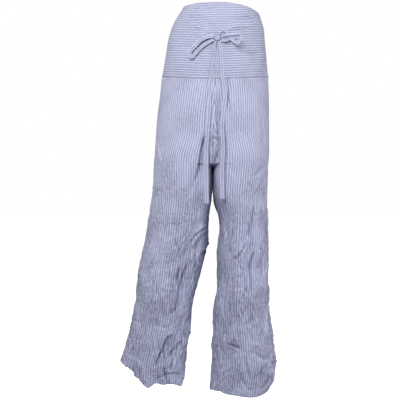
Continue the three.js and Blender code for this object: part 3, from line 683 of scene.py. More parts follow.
def fold_relief(folds, x, z, raised=1.0, narrowed=1.0):
    """How far folds move the cloth at places seen from the front: at each, a bell-shaped trough
    along the fold's line, and a lower bell-shaped ridge beside it, both fading at its ends, with
    raised as the share of that ridge and narrowed as the share of the width that are kept."""
    relief = np.zeros(x.shape)
    for width, depth, lip, line in folds:
        width, depth = narrowed * width * MM, depth * MM
        points = smooth_route(np.reshape(line, (-1, 2)) * MM, FOLD_STEPS * len(line) // 2)
        low, high = points.min(0) - FOLD_REACH * width, points.max(0) + FOLD_REACH * width
        near = (x > low[0]) & (x < high[0]) & (z > low[1]) & (z < high[1])
        if not near.any():
            continue
        px, pz = x[near], z[near]
        start, step = points[:-1], np.diff(points, axis=0)
        long = np.linalg.norm(step, axis=1)
        away_x, away_z = px[:, None] - start[:, 0], pz[:, None] - start[:, 1]
        s = np.clip((away_x * step[:, 0] + away_z * step[:, 1]) / long**2, 0, 1)
        away_x, away_z = away_x - s * step[:, 0], away_z - s * step[:, 1]
        away = np.hypot(away_x, away_z)
        pick = (np.arange(len(px)), away.argmin(axis=1))
        best = away[pick]
        aside = ((away_x * step[:, 1] - away_z * step[:, 0]) / long)[pick]
        along = (pick[1] + s[pick]) / len(step)
        fade = smooth_step(0, FOLD_TAPER, along) * smooth_step(1, 1 - FOLD_TAPER, along)
        trough = np.exp(-((best / width) ** 2))
        off = np.hypot(
            aside - math.copysign(LIP_AT * width, lip),
            np.sqrt(np.maximum(0, best**2 - aside**2)),
        )
        ridge = abs(lip) * np.exp(-((off / width) ** 2))
        relief[near] += depth * fade * (raised * ridge - trough)
    return relief


def scattered_creases(rng, count, across, down, reach, top, bottom, strength):
    """Relief of many short creases at random places: each is a bell-shaped trough beside a
    bell-shaped ridge, along a slightly bent line that leans from the lengthwise grain."""
    relief = np.zeros(across.shape)
    for _ in range(count):
        centre = rng.uniform(*reach)
        level = mix(top, bottom, rng.uniform() ** SHORT["crowd"])
        lies_across = rng.uniform() < SHORT["across"]
        lean = rng.normal(0, SHORT["lean"]) + lies_across * rng.uniform(*SHORT["across_lean"])
        long = rng.uniform(*SHORT["long"]) * MM
        wide = rng.uniform(*SHORT["wide"]) * MM
        bend = rng.normal(0, SHORT["bend"])
        deep = rng.uniform(*SHORT["deep"]) * strength(level)
        deep = deep * (SHORT["across_deep"] if lies_across else 1)
        u, v = across - centre, down - level
        t = u * math.sin(lean) + v * math.cos(lean)
        n = u * math.cos(lean) - v * math.sin(lean) - bend * t * t
        near = (np.abs(t) < SHORT["reach"][0] * long) & (np.abs(n) < SHORT["reach"][1] * wide)
        t, n = t[near] / long, n[near] / wide
        ridge = SHORT["ridge"] * np.exp(-((n - SHORT["ridge_at"]) ** 2))
        relief[near] += deep * np.exp(-t * t) * (ridge - np.exp(-n * n))
    return relief


def waves(rng, count, shortest, longest, across, down):
    """Soft random relief between -1 and 1 or so: a sum of waves in random directions."""
    relief = np.zeros(across.shape)
    for _ in range(count):
        angle, start = rng.uniform(0, 2 * math.pi, 2)
        turn = 2 * math.pi / rng.uniform(shortest, longest)
        relief += np.sin(turn * (across * math.cos(angle) + down * math.sin(angle)) + start)
    return relief / math.sqrt(count)


def crumpled(rng, shortest, longest, across, down):
    """Random relief of rounded facets that meet in sharp valleys: the size of soft waves."""
    return np.abs(waves(rng, FACETS, shortest, longest, across, down)) - FACETS_MIDDLE


def section_normal(side, face, share, z):
    """Direction out of the section, level with the ground, from a small step along it."""
    step = np.where(share > 0.5, -SHARE_STEP, SHARE_STEP)
    x, y = section_point(side, face, share, z)
    near_x, near_y = section_point(side, face, share + step, z)
    turn = outward(side, face) * np.sign(step) / np.hypot(near_x - x, near_y - y)
    return turn * (y - near_y), turn * (near_x - x)


def folded_surface(side, face, share, z):
    """The outer side of the cloth: its section, moved out or in by the large folds."""
    x, y = section_point(side, face, share, z)
    out_x, out_y = section_normal(side, face, share, z)
    moved = fold_relief(FOLDS[face], x, z) * np.abs(out_y)
    return np.stack([x + out_x * moved, y + out_y * moved, z + 0 * x], axis=-1)


def surface_normals(points, turn):
    """Unit normals of a grid of points, from its slopes along and down."""
    along, down = np.gradient(points, axis=1), np.gradient(points, axis=0)
    return unit(np.cross(along, down) * turn)


def lengths_down(points):
    """Distance of each grid point from the first row, along its column."""
    steps = np.linalg.norm(np.diff(points, axis=0), axis=-1)
    return np.concatenate([np.zeros((1, points.shape[1])), np.cumsum(steps, axis=0)])


def seam_height(face, share):
    """Height of the seam below the band, which dips towards the middle as a squared wave."""
    quarter = np.minimum(1, share / FORK_AT[face])
    return SEAM_LEVEL + SEAM_DIP[face] * np.sin(quarter * math.pi / 2) ** 2


def leg_rows(side):
    """Nominal heights of a leg panel's rows, at the outseam and at the centre seam or inseam."""
    hem = HEMS[side_name(side)]["level"]
    hips = mix(SEAM_LEVEL, FORK, np.arange(HIP_ROWS) / HIP_ROWS)
    fork = np.arange(FORK_ROWS) / FORK_ROWS
    leg = np.arange(LEG_ROWS + 1) / LEG_ROWS
    outer = [hips, mix(FORK, CROTCH_ROW, fork), mix(CROTCH_ROW, hem, leg)]
    inner = [hips, mix(FORK, CROTCH, fork), mix(CROTCH, hem, leg)]
    return np.concatenate(outer), np.concatenate(inner)


def leg_panel(side, face):
    """A leg panel's grid, with the distance of each point from the outseam, centre seam or
    inseam, waist seam and hem. Rows bend down to the U of the crotch seam over the inner
    columns, and to the seam above and the hem below."""
    outer, inner = leg_rows(side)
    part = np.linspace(0, 1, LEG_COLUMNS + 1)
    share, across = spaced_shares(side, face, part, inner)
    level = mix(outer[:, None], inner[:, None], smooth_step(ROWS_BEND, 1, part))
    hem = HEMS[side_name(side)]
    bent = seam_height(face, share) - SEAM_LEVEL
    sloped = look_up(hem[face], "share", share, "z") - hem["level"]
    z = (
        level
        + bent * smooth_step(SEAM_FADE, SEAM_LEVEL, level)
        + sloped * smooth_step(HEM_START, hem["level"], level)
    )
    points = folded_surface(side, face, share, z)
    down = lengths_down(points)
    return {
        "points": points,
        "across": across,
        "from_inner": across[:, -1:] - across,
        "down": down,
        "from_hem": down[-1] - down,
        "turn": outward(side, face),
    }


def band_panel(face):
    """Half of the waistband, from the right outseam to the left one, with the distance of each
    point from the right outseam and from the seam below."""
    part = np.linspace(0, 1, BAND_COLUMNS // 2 + 1)
    down = np.linspace(0, 1, BAND_ROWS + 1)[:, None]
    halves, lengths = [], []
    for side in (-1, 1):
        share, across = spaced_shares(side, face, part, np.array([SEAM_LEVEL]))
        turned = 90 * share / FORK_AT[face]
        front = turned if side > 0 else 180 - turned
        top = look_up(TOP_EDGE, "angle", front if face == "front" else 360 - front, "z")
        z = mix(top, seam_height(face, share), down)
        points = folded_surface(side, face, share + 0 * z, z)
        whole = across[:, -1:]
        if side > 0:
            halves.append(points[:, ::-1][:, 1:])
            lengths.append((2 * whole - across)[:, ::-1][:, 1:])
        else:
            halves.append(points)
            lengths.append(across)
    points = np.concatenate(halves, axis=1)
    across = np.concatenate(lengths, axis=1) + 0 * points[..., 0]
    fallen = lengths_down(points)
    return {
        "points": points,
        "across": across,
        "up": fallen[-1] - fallen,
        "from_top": fallen,
        "from_sides": np.minimum(across, across[:, -1:] - across),
        "turn": -1 if face == "front" else 1,
    }


def ridge_at(distance, place, width):
    """A bell of height 1 at a distance from an edge."""
    return np.exp(-(((distance - place) / width) ** 2))


def part_thighs(points, side, face, from_inner):
    """Bridges the hollow along the centre seam above the crotch in front, rounds the thighs
    away from each other below it, where a dark gap shows, and draws them together behind,
    where no light comes through."""
    z, y = points[..., 2], points[..., 1]
    forward = 0
    if face == "front":
        bridged = BRIDGED * window(BRIDGE_LEVELS, z) * smooth_step(*BRIDGE_WIDTH, from_inner)
        forward = bridged * np.minimum(0, sizes_at(side, z)["front"] + BRIDGE_BEHIND - y)
        away = OPENED[side_name(side)] * window(OPEN_LEVELS, z) * smooth_step(*OPEN_DEPTH, y)
        away = away * smooth_step(*THIGH_WIDTH, from_inner)
        away = away * smooth_step(0, SEAM_KEPT, from_inner + (z < CROTCH) * SEAM_KEPT)
    else:
        away = CLOSED * window(CLOSED_LEVELS, z) * smooth_step(*CLOSED_DEPTH, y)
        away = away * smooth_step(*THIGH_WIDTH, from_inner)
    moved = points.copy()
    moved[..., 0] += side * away
    moved[..., 1] += forward
    return moved


def leg_crinkle(level):
    """Depth of the legs' crinkle at a height."""
    return mix(*CRINKLE_DEEP, smooth_step(*CRINKLE_LEVELS, level))


def band_crinkle(level):
    """Depth of the band's crinkle, the same at each height."""
    return BAND_CREASES["deep"] + 0 * np.asarray(level)


def dress_leg(panel, side, face, crinkle):
    """Moves a leg panel's points out or in by its finer creases, crinkle, seams and hem."""
    across, down = panel["across"], panel["down"]
    from_inner, from_hem = panel["from_inner"], panel["from_hem"]
    points = part_thighs(panel["points"], side, face, from_inner)
    z = points[..., 2]
    rng = np.random.default_rng(SEEDS[side_name(side)])
    signed = across if face == "front" else -across
    hem = HEMS[side_name(side)]["level"]
    strength = leg_crinkle(z)
    soft = waves(rng, *LEG_WAVES, signed, z) * LEG_WAVES_SHARE * strength
    crumple = crumpled(rng, *LEG_CRUMPLE, signed, z * CRUMPLE_LONG) * CRUMPLE_SHARE * strength
    fine = crumpled(rng, *LEG_CRINKLE, signed, z * CRINKLE_LONG) * CRUMPLE_SHARE * strength
    short = scattered_creases(
        rng, LEG_CREASES["count"], signed, z, LEG_CREASES["reach"], LEG_CREASES["top"], hem,
        leg_crinkle,
    )
    outside = OUTSIDE["more"] * ridge_at(across, OUTSIDE["place"], OUTSIDE["wide"])
    outside = 1 + outside * smooth_step(*OUTSIDE["levels"], z)
    relief = (soft + (crumple + fine) * outside + short) * crinkle
    relief += CREASED * fold_relief(
        CREASES[face], points[..., 0], z, CREASE_RAISED, CREASE_NARROWED
    )
    relief += (FOLDED - 1) * fold_relief(FOLDS[face], points[..., 0], z)
    relief *= smooth_step(0, CALM["outer"], across) * (1 - CALM["leg"]) + CALM["leg"]
    inner_side = smooth_step(0, CALM["inner"], from_inner)
    relief *= inner_side * (1 - CALM["less"] * ridge_at(across, 0, CALM["wide"]))
    gather = GATHER["deep"] * np.sin(2 * math.pi * across / GATHER["pitch"])
    gather = gather * ridge_at(down, 0, GATHER["reach"])
    pucker = PUCKER["deep"] * np.sin(2 * math.pi * z / PUCKER["pitch"])
    pucker = pucker * ridge_at(across, PUCKER["place"], PUCKER["wide"])
    groove = ridge_at(across, 0, GROOVE["wide"]) + ridge_at(from_inner, 0, GROOVE["wide"])
    groove = GROOVE["deep"] * groove
    hem_step = HEM_SEWN["step"] * (1 - smooth_step(*HEM_SEWN["ends"], from_hem))
    hem_pull = HEM_SEWN["pull"] * ridge_at(from_hem, *HEM_SEWN["pull_at"])
    turned_down = SEAM_TURN["step"] * ridge_at(down, *SEAM_TURN["at"])
    relief += gather + pucker - groove + hem_step - hem_pull + turned_down
    return points + surface_normals(points, panel["turn"]) * relief[..., None]


def dress_band(panel, face, crinkle):
    """Moves half of the band out or in by its finer creases, crinkle, seams and turned edges."""
    points, across, up = panel["points"], panel["across"], panel["up"]
    rng = np.random.default_rng(SEEDS[face])
    z = points[..., 2]
    soft = waves(rng, *BAND_WAVES, across * BAND_WAVES_LONG, z) * BAND_WAVES_DEEP
    fine = crumpled(rng, *BAND_CRUMPLE, across * BAND_CRUMPLE_LONG, z) * BAND_CRUMPLE_DEEP
    short = scattered_creases(
        rng, BAND_CREASES["count"], z * BAND_CREASES["closer"], across,
        BAND_CREASES["reach"], 0, BAND_CREASES["end"], band_crinkle,
    )
    relief = (soft + fine + short) * crinkle
    relief += CREASED * fold_relief(CREASES[face], points[..., 0], z)
    calm = smooth_step(0, CALM_BAND["wide"], panel["from_sides"])
    relief *= calm * (1 - CALM_BAND["kept"]) + CALM_BAND["kept"]
    groove = GROOVE["deep"] * ridge_at(panel["from_sides"], 0, GROOVE["wide"])
    turned_up = BAND_EDGE["step"] * (1 - smooth_step(*BAND_EDGE["ends"], up))
    turned_in = TOP_TURN["step"] * (1 - smooth_step(*TOP_TURN["ends"], panel["from_top"]))
    relief += turned_up + turned_in - groove
    return points + surface_normals(points, panel["turn"]) * relief[..., None]


def grid_faces(rows, columns, turn):
    """Corners of the cells of a grid of rows and columns of points."""
    index = np.arange(rows * columns).reshape(rows, columns)
    corners = np.stack([index[:-1, :-1], index[:-1, 1:], index[1:, 1:], index[1:, :-1]], -1)
    corners = corners.reshape(-1, 4)
    return (corners if turn > 0 else corners[:, ::-1]).tolist()


def tube_faces(index):
    """Corners of the cells between rings of points, each ring closed on itself."""
    nxt = np.roll(index, -1, axis=1)
    return np.stack([index[:-1], nxt[:-1], nxt[1:], index[1:]], -1).reshape(-1, 4).tolist()


def make_object(name, points, faces, material, cut=None):
    """A smooth mesh from points and each face's corners, with cut as its map in metres."""
    mesh = bpy.data.meshes.new(name)
    mesh.from_pydata(points.reshape(-1, 3).tolist(), [], faces)
    mesh.shade_smooth()
    if cut is not None:
        layer = mesh.uv_layers.new(name="Cut")
        corner = np.empty(len(mesh.loops), dtype=int)
        mesh.loops.foreach_get("vertex_index", corner)
        layer.data.foreach_set("uv", cut.reshape(-1, 2)[corner].ravel())
    mesh.materials.append(material)
    piece = bpy.data.objects.new(name, mesh)
    bpy.context.scene.collection.objects.link(piece)
    return piece


def cloth_object(name, points, turn, cut, material, thickness):
    """A grid of points as a thin shell, which lies inside the points."""
    rows, columns = points.shape[:2]
    piece = make_object(name, points, grid_faces(rows, columns, turn), material, cut)
    wall = piece.modifiers.new("Cloth wall", "SOLIDIFY")
    wall.thickness = thickness
    wall.offset = -1
    return piece


def hand_over(piece, node):
    """Lets a piece ride on the one body, in place of its node, which is hidden if it has one."""
    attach(piece, "root")
    if node:
        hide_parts(node)


def strip_rings(line, across, width):
    """A strip's rounded section, carried along a line: at each place a ring of points whose
    offsets across and out of the strip, to a power, add up to 1."""
    along = unit(np.gradient(line, axis=0))
    side = unit(across - along * (across * along).sum(axis=1, keepdims=True))
    out = np.cross(along, side)
    x, y = round_point(np.arange(STRIP_SIDES) * 2 * math.pi / STRIP_SIDES, STRIP_POWER)
    offset_x = x[None, :, None] * (width / 2)[:, None, None] * side[:, None, :]
    offset_y = y[None, :, None] * (TIE["thick"] / 2) * out[:, None, :]
    return line[:, None, :] + offset_x + offset_y, x


def strip_object(name, line, across, width, material):
    """A flat strip of cloth along a line, closed at both ends, mapped across and along. Its
    width falls and rises a little, in a squared wave along it."""
    reached = lengths_along(line)
    narrowed = STRIP_PUCKER["share"] * np.sin(reached / STRIP_PUCKER["turn"]) ** 2
    width = np.broadcast_to(width, len(line)) * (1 - narrowed)
    rings, x = strip_rings(line, across, width)
    index = np.arange(rings.shape[0] * rings.shape[1]).reshape(rings.shape[:2])
    faces = tube_faces(index) + [index[0][::-1].tolist(), index[-1].tolist()]
    cut = np.stack([
        x[None, :] * width[:, None] / 2 + STRIPE_SHIFT, reached[:, None] + 0 * x[None, :]
    ], axis=-1)
    return make_object(name, rings, faces, material, cut)


def front_depth(x, z):
    """Depth of the front cloth, large folds included, at places seen from the front."""
    x, z = np.atleast_1d(x), np.atleast_1d(z)
    depth = np.empty(len(x))
    for side in (-1, 1):
        mine = (x > middle_at(z)) == (side > 0)
        if not mine.any():
            continue
        level = z[mine]
        steps = np.linspace(0, 1, DEPTH_STEPS + 1)[None, :]
        steps = steps * seam_share("front", level)[:, None]
        surface = folded_surface(side, "front", steps, level[:, None] + 0 * steps)
        aim = x[mine][:, None]
        reached = (surface[..., 0] - aim) * side
        last = np.argmax(reached <= 0, axis=1)
        last = np.where((reached <= 0).any(axis=1), last, steps.shape[1] - 1)
        depth[mine] = surface[np.arange(len(level)), last, 1]
    return depth


BAND_FRONT = float(front_depth(KNOT["x"], KNOT["z"])[0])
KNOT_CENTRE = np.array([
    KNOT["x"], BAND_FRONT - KNOT["stand_off"] - KNOT["half"][1], KNOT["z"]
])


def end_line(route, start, cloth, steps=150):
    """A hanging end: down from the knot, on the foremost cloth near each place, and nearly
    straight down where the cloth falls away. Gives its line, direction across and widths."""
    flat = smooth_route(np.stack([route[:, 0], route[:, 1]], axis=1), steps)
    share = np.linspace(0, 1, steps + 1)
    width = mix(start, TIE["end"], smooth_step(0, END_WIDE_BY, share))
    off_x = np.abs(cloth[None, :, 0] - flat[:, None, 0])
    off_z = np.abs(cloth[None, :, 2] - flat[:, None, 1])
    near = (off_x < width[:, None] / 2 + END_NEAR[0]) & (off_z < END_NEAR[1])
    foremost = np.where(near, cloth[None, :, 1], np.inf).min(axis=1)
    rest = foremost - TIE["clear"] - TIE["thick"] / 2
    given_way = TIE_FOLLOWS * (flat[0, 1] - flat[:, 1])
    depth = np.minimum.accumulate(np.minimum(rest, KNOT_CENTRE[1]) - given_way) + given_way
    line = np.stack([flat[:, 0], depth, flat[:, 1]], axis=1)
    along = np.gradient(line, axis=0)
    across = np.stack([-along[:, 2], 0 * depth, along[:, 0]], axis=1)
    return line, across, width


def loop_line(route, steps, tilts):
    """A loop of the bow: a smooth route ahead of the band, with the strip partly on edge, by
    angles that change evenly from its start to its end."""
    place = np.stack([route[:, 0], BAND_FRONT - route[:, 1], route[:, 2]], axis=1)
    line = smooth_route(place, steps)
    depth = np.array([0.0, 1.0, 0.0])
    flat = unit(np.cross(np.gradient(line, axis=0), depth))
    tilt = np.linspace(*tilts, steps + 1)[:, None]
    return line, flat * np.cos(tilt) + depth * np.sin(tilt)


def ring_line(steps=60):
    """The strip inside the band: from the knot in through the slot, round the waist and back."""
    inward = CAD_WALL + TIE_INSIDE + TIE["thick"] / 2

    def inside(side, face, quarter):
        share = quarter * FORK_AT[face]
        level = KNOT["z"] + 0 * quarter
        here = folded_surface(side, face, share, level)
        below = folded_surface(side, face, share, level - LEVEL_STEP)
        step = np.where(share > 0.5, -SHARE_STEP, SHARE_STEP)
        along = (folded_surface(side, face, share + step, level) - here) / step[:, None]
        out = unit(np.cross(along, below - here) * outward(side, face))
        return here - out * inward, here - below

    def half(side):
        x = [side * NECK_APART] * 2 + list(side * NECK_BEND[:, 0])
        y = [BAND_FRONT - KNOT["stand_off"] + NECK_CLEAR, BAND_FRONT + CAD_WALL]
        y += list(BAND_FRONT + inward + NECK_BEND[:, 1])
        neck = np.stack([KNOT["x"] + np.array(x), y, np.full(4, KNOT["z"])], axis=1)
        up = np.tile([0.0, 0.0, 1.0], (4, 1))
        front, front_up = inside(side, "front", RING_LAID * np.linspace(1, 0, steps))
        back, back_up = inside(side, "back", np.linspace(0, 1, steps)[1:])
        return np.concatenate([neck, front, back]), np.concatenate([up, front_up, back_up])

    left, left_up = half(1)
    right, right_up = half(-1)
    line = np.concatenate([left, right[::-1][1:]])
    return line, np.concatenate([left_up, right_up[::-1][1:]])


def leaning(points):
    """Distance of points in the direction that the knot's strip leans across."""
    return points[..., 0] * KNOT_LEAN[0] + points[..., 2] * KNOT_LEAN[1]


def knot_points(rings=40, sides=64):
    """The knot: a rounded lump with the furrows of the strip that wraps it. Its points are
    where the coordinates over its half sizes, to a power, add up to 1, pressed in by a wave
    that leans across the front."""
    lift = np.linspace(-math.pi / 2, math.pi / 2, rings + 1)[:, None]
    round_it = np.linspace(0, 2 * math.pi, sides + 1)[None, :-1]
    ball = np.stack([
        np.cos(lift) * np.cos(round_it), np.cos(lift) * np.sin(round_it),
        np.sin(lift) + 0 * round_it,
    ], axis=-1)
    size = (np.abs(ball) ** KNOT_POWER).sum(axis=-1, keepdims=True) ** (-1 / KNOT_POWER)
    ball = ball * size
    furrow = KNOT_FURROWS["deep"] * np.cos(leaning(ball) * KNOT_FURROWS["turn"])
    furrow = furrow * np.clip(-ball[..., 1], 0, 1)
    level = KNOT_FURROWS["level"] + furrow[..., None] - KNOT_FURROWS["sunk"]
    return KNOT_CENTRE + ball * KNOT["half"] * level


class ClothSettings(bpy.types.PropertyGroup):
    """Sizes and colours of the cotton."""

    stripe: bpy.props.FloatProperty(
        name="Stripe repeat", description="Width of one blue and one white stripe",
        default=STRIPE, unit="LENGTH",
    )
    crinkle: bpy.props.FloatProperty(
        name="Crinkle", description="Depth of the small creases", default=1.0, subtype="FACTOR",
    )
    thickness: bpy.props.FloatProperty(
        name="Thickness", description="Thickness of the cloth", default=CLOTH, unit="LENGTH",
    )
    blue: bpy.props.FloatVectorProperty(
        name="Blue", description="Colour of the blue stripe", subtype="COLOR",
        default=(0.33, 0.342, 0.49),
    )
    white: bpy.props.FloatVectorProperty(
        name="White", description="Colour of the white stripe", subtype="COLOR",
        default=(0.60, 0.615, 0.778),
    )
    thread: bpy.props.FloatVectorProperty(
        name="Thread", description="Colour of the sewing thread", subtype="COLOR",
        default=(0.62, 0.64, 0.78),
    )


class StageSettings(bpy.types.PropertyGroup):
    """Floor, light and camera."""

    floor_level: bpy.props.FloatProperty(
        name="Floor level", description="Height of the floor", default=-1.06, unit="LENGTH",
    )
    key_power: bpy.props.FloatProperty(
        name="Key light", description="Power of the large light above the front",
        default=25.5, unit="POWER",
    )
    fill_power: bpy.props.FloatProperty(
        name="Fill light", description="Power of the light from the side",
        default=23.5, unit="POWER",
    )
    sky: bpy.props.FloatProperty(
        name="Surrounding light", description="Strength of the even light all round",
        default=0.17,
    )


class Wiring:
    """Short calls that add and join the nodes of one tree."""

    def __init__(self, tree):
        self.tree = tree

    def node(self, kind, **settings):
        made = self.tree.nodes.new(kind)
        for name, value in settings.items():
            setattr(made, name, value)
        return made

    def join(self, source, target):
        self.tree.links.new(source, target)

    def feed(self, target, value):
        if isinstance(value, bpy.types.NodeSocket):
            self.join(value, target)
        elif value is not None:
            target.default_value = value

    def math(self, operation, first, second=None, third=None):
        made = self.node("ShaderNodeMath", operation=operation)
        for socket, value in zip(made.inputs, (first, second, third)):
            self.feed(socket, value)
        return made.outputs[0]

    def noise(self, vector, scale, detail=2.0, roughness=0.5):
        made = self.node("ShaderNodeTexNoise")
        self.join(vector, made.inputs["Vector"])
        made.inputs["Scale"].default_value = scale
        made.inputs["Detail"].default_value = detail
        made.inputs["Roughness"].default_value = roughness
        return made.outputs["Fac"]

    def ramp(self, value, low, high, to_low=0.0, to_high=1.0):
        made = self.node("ShaderNodeMapRange", interpolation_type="SMOOTHSTEP")
        self.feed(made.inputs["Value"], value)
        for name, number in zip(("From Min", "From Max", "To Min", "To Max"),
                                (low, high, to_low, to_high)):
            self.feed(made.inputs[name], number)
        return made.outputs["Result"]

    def mix_color(self, factor, first, second, blend="MIX"):
        made = self.node("ShaderNodeMix", data_type="RGBA", blend_type=blend)
        self.feed(made.inputs["Factor"], factor)
        self.feed(made.inputs["A"], first)
        self.feed(made.inputs["B"], second)
        return made.outputs["Result"]

    def axis(self, vector, name):
        made = self.node("ShaderNodeSeparateXYZ")
        self.join(vector, made.inputs[0])
        return made.outputs[name]

    def stretched(self, vector, scale):
        made = self.node("ShaderNodeMapping")
        self.join(vector, made.inputs["Vector"])
        made.inputs["Scale"].default_value = scale
        return made.outputs["Vector"]


def start_group(name, inputs, outputs):
    """A new node group whose named sockets have their kinds, with its wiring and its ends."""
    group = bpy.data.node_groups.new(name, "ShaderNodeTree")
    for in_out, sockets in (("INPUT", inputs), ("OUTPUT", outputs)):
        for socket, kind in sockets.items():
            group.interface.new_socket(socket, in_out=in_out, socket_type=f"NodeSocket{kind}")
    w = Wiring(group)
    return group, w, w.node("NodeGroupInput").outputs, w.node("NodeGroupOutput").inputs


def stripe_group():
    """Node group of woven stripes. In: the map in metres, the repeat and two colours. Out: the
    colour, the mask of the blue stripe, and the roughness."""
    name = "Woven stripes"
    if name in bpy.data.node_groups:
        return bpy.data.node_groups[name]
    group, w, given, made = start_group(
        name,
        {"Map": "Vector", "Repeat": "Float", "Blue": "Color", "White": "Color"},
        {"Color": "Color", "Blue mask": "Float", "Roughness": "Float"},
    )
    spot = given["Map"]
    wander = w.math("MULTIPLY_ADD", w.noise(spot, SCALES["wander"]), 2 * WANDER, -WANDER)
    moved = w.math("ADD", w.axis(spot, "X"), wander)
    turns = w.math("FRACT", w.math("DIVIDE", moved, given["Repeat"]))
    off = w.math("ABSOLUTE", w.math("SUBTRACT", turns, 0.5))
    uneven = w.math("MULTIPLY_ADD", w.noise(spot, SCALES["width"]), *BLUE_HALF)
    mask = w.ramp(off, low=w.math("ADD", uneven, STRIPE_BLUR), high=uneven)
    worn = w.ramp(w.noise(spot, SCALES["worn"]), *WORN)
    shown = w.math("MULTIPLY_ADD", w.math("SUBTRACT", mask, 0.5), worn, 0.5)
    colour = w.mix_color(shown, given["White"], given["Blue"])
    yarn = w.noise(w.stretched(spot, YARN_SCALE), scale=1.0, detail=1.0)
    shade = w.node("ShaderNodeCombineColor")
    tone = w.math("MULTIPLY_ADD", yarn, YARN_TONE, 1 - YARN_TONE / 2)
    cloudy = w.noise(spot, SCALES["dye"], detail=3.0)
    for channel, amount in CLOUDED.items():
        varied = w.math("MULTIPLY_ADD", cloudy, amount, 1 - amount / 2)
        w.join(w.math("MULTIPLY", tone, varied), shade.inputs[channel])
    w.join(w.mix_color(1.0, colour, shade.outputs["Color"], "MULTIPLY"), made["Color"])
    w.join(mask, made["Blue mask"])
    w.join(w.math("MULTIPLY_ADD", yarn, *COTTON_ROUGH), made["Roughness"])
    return group


def pucker_group():
    """Node group of the cloth's surface. In: the map in metres, the mask of the puckered stripe
    and the amount of crumple. Out: a height in millimetres, of puckers along the stripe, sharp
    wrinkles and the weave."""
    name = "Crinkled weave"
    if name in bpy.data.node_groups:
        return bpy.data.node_groups[name]
    group, w, given, made = start_group(
        name, {"Map": "Vector", "Blue mask": "Float", "Crumple": "Float"}, {"Height": "Float"}
    )
    spot = given["Map"]
    bumps = w.noise(w.stretched(spot, PUCKER_SCALE), scale=1.0)
    pucker = w.math("MULTIPLY", bumps, w.math("MULTIPLY_ADD", given["Blue mask"], *PUCKERED))
    wrinkle = w.noise(w.stretched(spot, WRINKLE_SCALE), scale=1.0, detail=3.0, roughness=0.6)
    sharp = w.math("ABSOLUTE", w.math("SUBTRACT", wrinkle, 0.5))
    where = w.ramp(w.noise(spot, SCALES["gathered"]), *GATHERED)
    weave = w.noise(w.stretched(spot, WEAVE_SCALE), scale=1.0, detail=1.0)
    depth = w.math("MULTIPLY", w.math("MULTIPLY", where, given["Crumple"]), WRINKLE_DEEP)
    height = w.math("MULTIPLY_ADD", sharp, depth, pucker)
    w.join(w.math("MULTIPLY_ADD", weave, WEAVE_DEEP, height), made["Height"])
    return group


def start_material(name):
    """A new material, with its wiring and its shader."""
    material = bpy.data.materials.new(name)
    material.use_nodes = True
    return material, Wiring(material.node_tree), material.node_tree.nodes["Principled BSDF"]


def cotton(name, settings, crumple, tone=1.0):
    """The striped cotton, mapped by the piece's own cut, with an amount of crumple and a tone
    that its colours are multiplied by: below 1 it is painted shade, a darker copy of the cloth."""
    material, w, shader = start_material(name)
    cut = w.node("ShaderNodeUVMap", uv_map="Cut").outputs[0]
    stripes = w.node("ShaderNodeGroup", node_tree=stripe_group())
    stripes.inputs["Repeat"].default_value = settings.stripe
    # The tone darkens both stripe colours: painted shade, below 1 on the band and the tie.
    stripes.inputs["Blue"].default_value = (*(tone * c for c in settings.blue), 1)
    stripes.inputs["White"].default_value = (*(tone * c for c in settings.white), 1)
    w.join(cut, stripes.inputs["Map"])
    surface = w.node("ShaderNodeGroup", node_tree=pucker_group())
    w.join(cut, surface.inputs["Map"])
    w.join(stripes.outputs["Blue mask"], surface.inputs["Blue mask"])
    lower = w.ramp(w.axis(cut, "Y"), *CRUMPLE_DOWN, CRUMPLE_ABOVE * crumple, crumple)
    from_seam = w.math("ABSOLUTE", w.axis(cut, "X"))
    beside = w.ramp(from_seam, *OUTER_WIDTH, OUTER_CRUMPLE, 1.0)
    w.join(w.math("MULTIPLY", lower, beside), surface.inputs["Crumple"])
    bump = w.node("ShaderNodeBump")
    bump.inputs["Strength"].default_value = 1.0
    bump.inputs["Distance"].default_value = 1.0 * MM
    w.join(surface.outputs["Height"], bump.inputs["Height"])
    w.join(stripes.outputs["Color"], shader.inputs["Base Color"])
    w.join(stripes.outputs["Roughness"], shader.inputs["Roughness"])
    w.join(bump.outputs["Normal"], shader.inputs["Normal"])
    shader.inputs["Specular IOR Level"].default_value = 0.25
    shader.inputs["Sheen Weight"].default_value = 0.12
    shader.inputs["Sheen Roughness"].default_value = 0.5
    return material


def thread(settings):
    """Sewing thread: a plain twisted cotton."""
    material, w, shader = start_material("Thread")
    place = w.node("ShaderNodeTexCoord").outputs["Object"]
    fibre = w.noise(place, SCALES["fibre"], detail=1.0)
    dark = (*(THREAD_SHADE * c for c in settings.thread), 1)
    w.join(w.mix_color(fibre, dark, (*settings.thread, 1)), shader.inputs["Base Color"])
    w.join(w.math("MULTIPLY_ADD", fibre, *THREAD_ROUGH), shader.inputs["Roughness"])
    return material


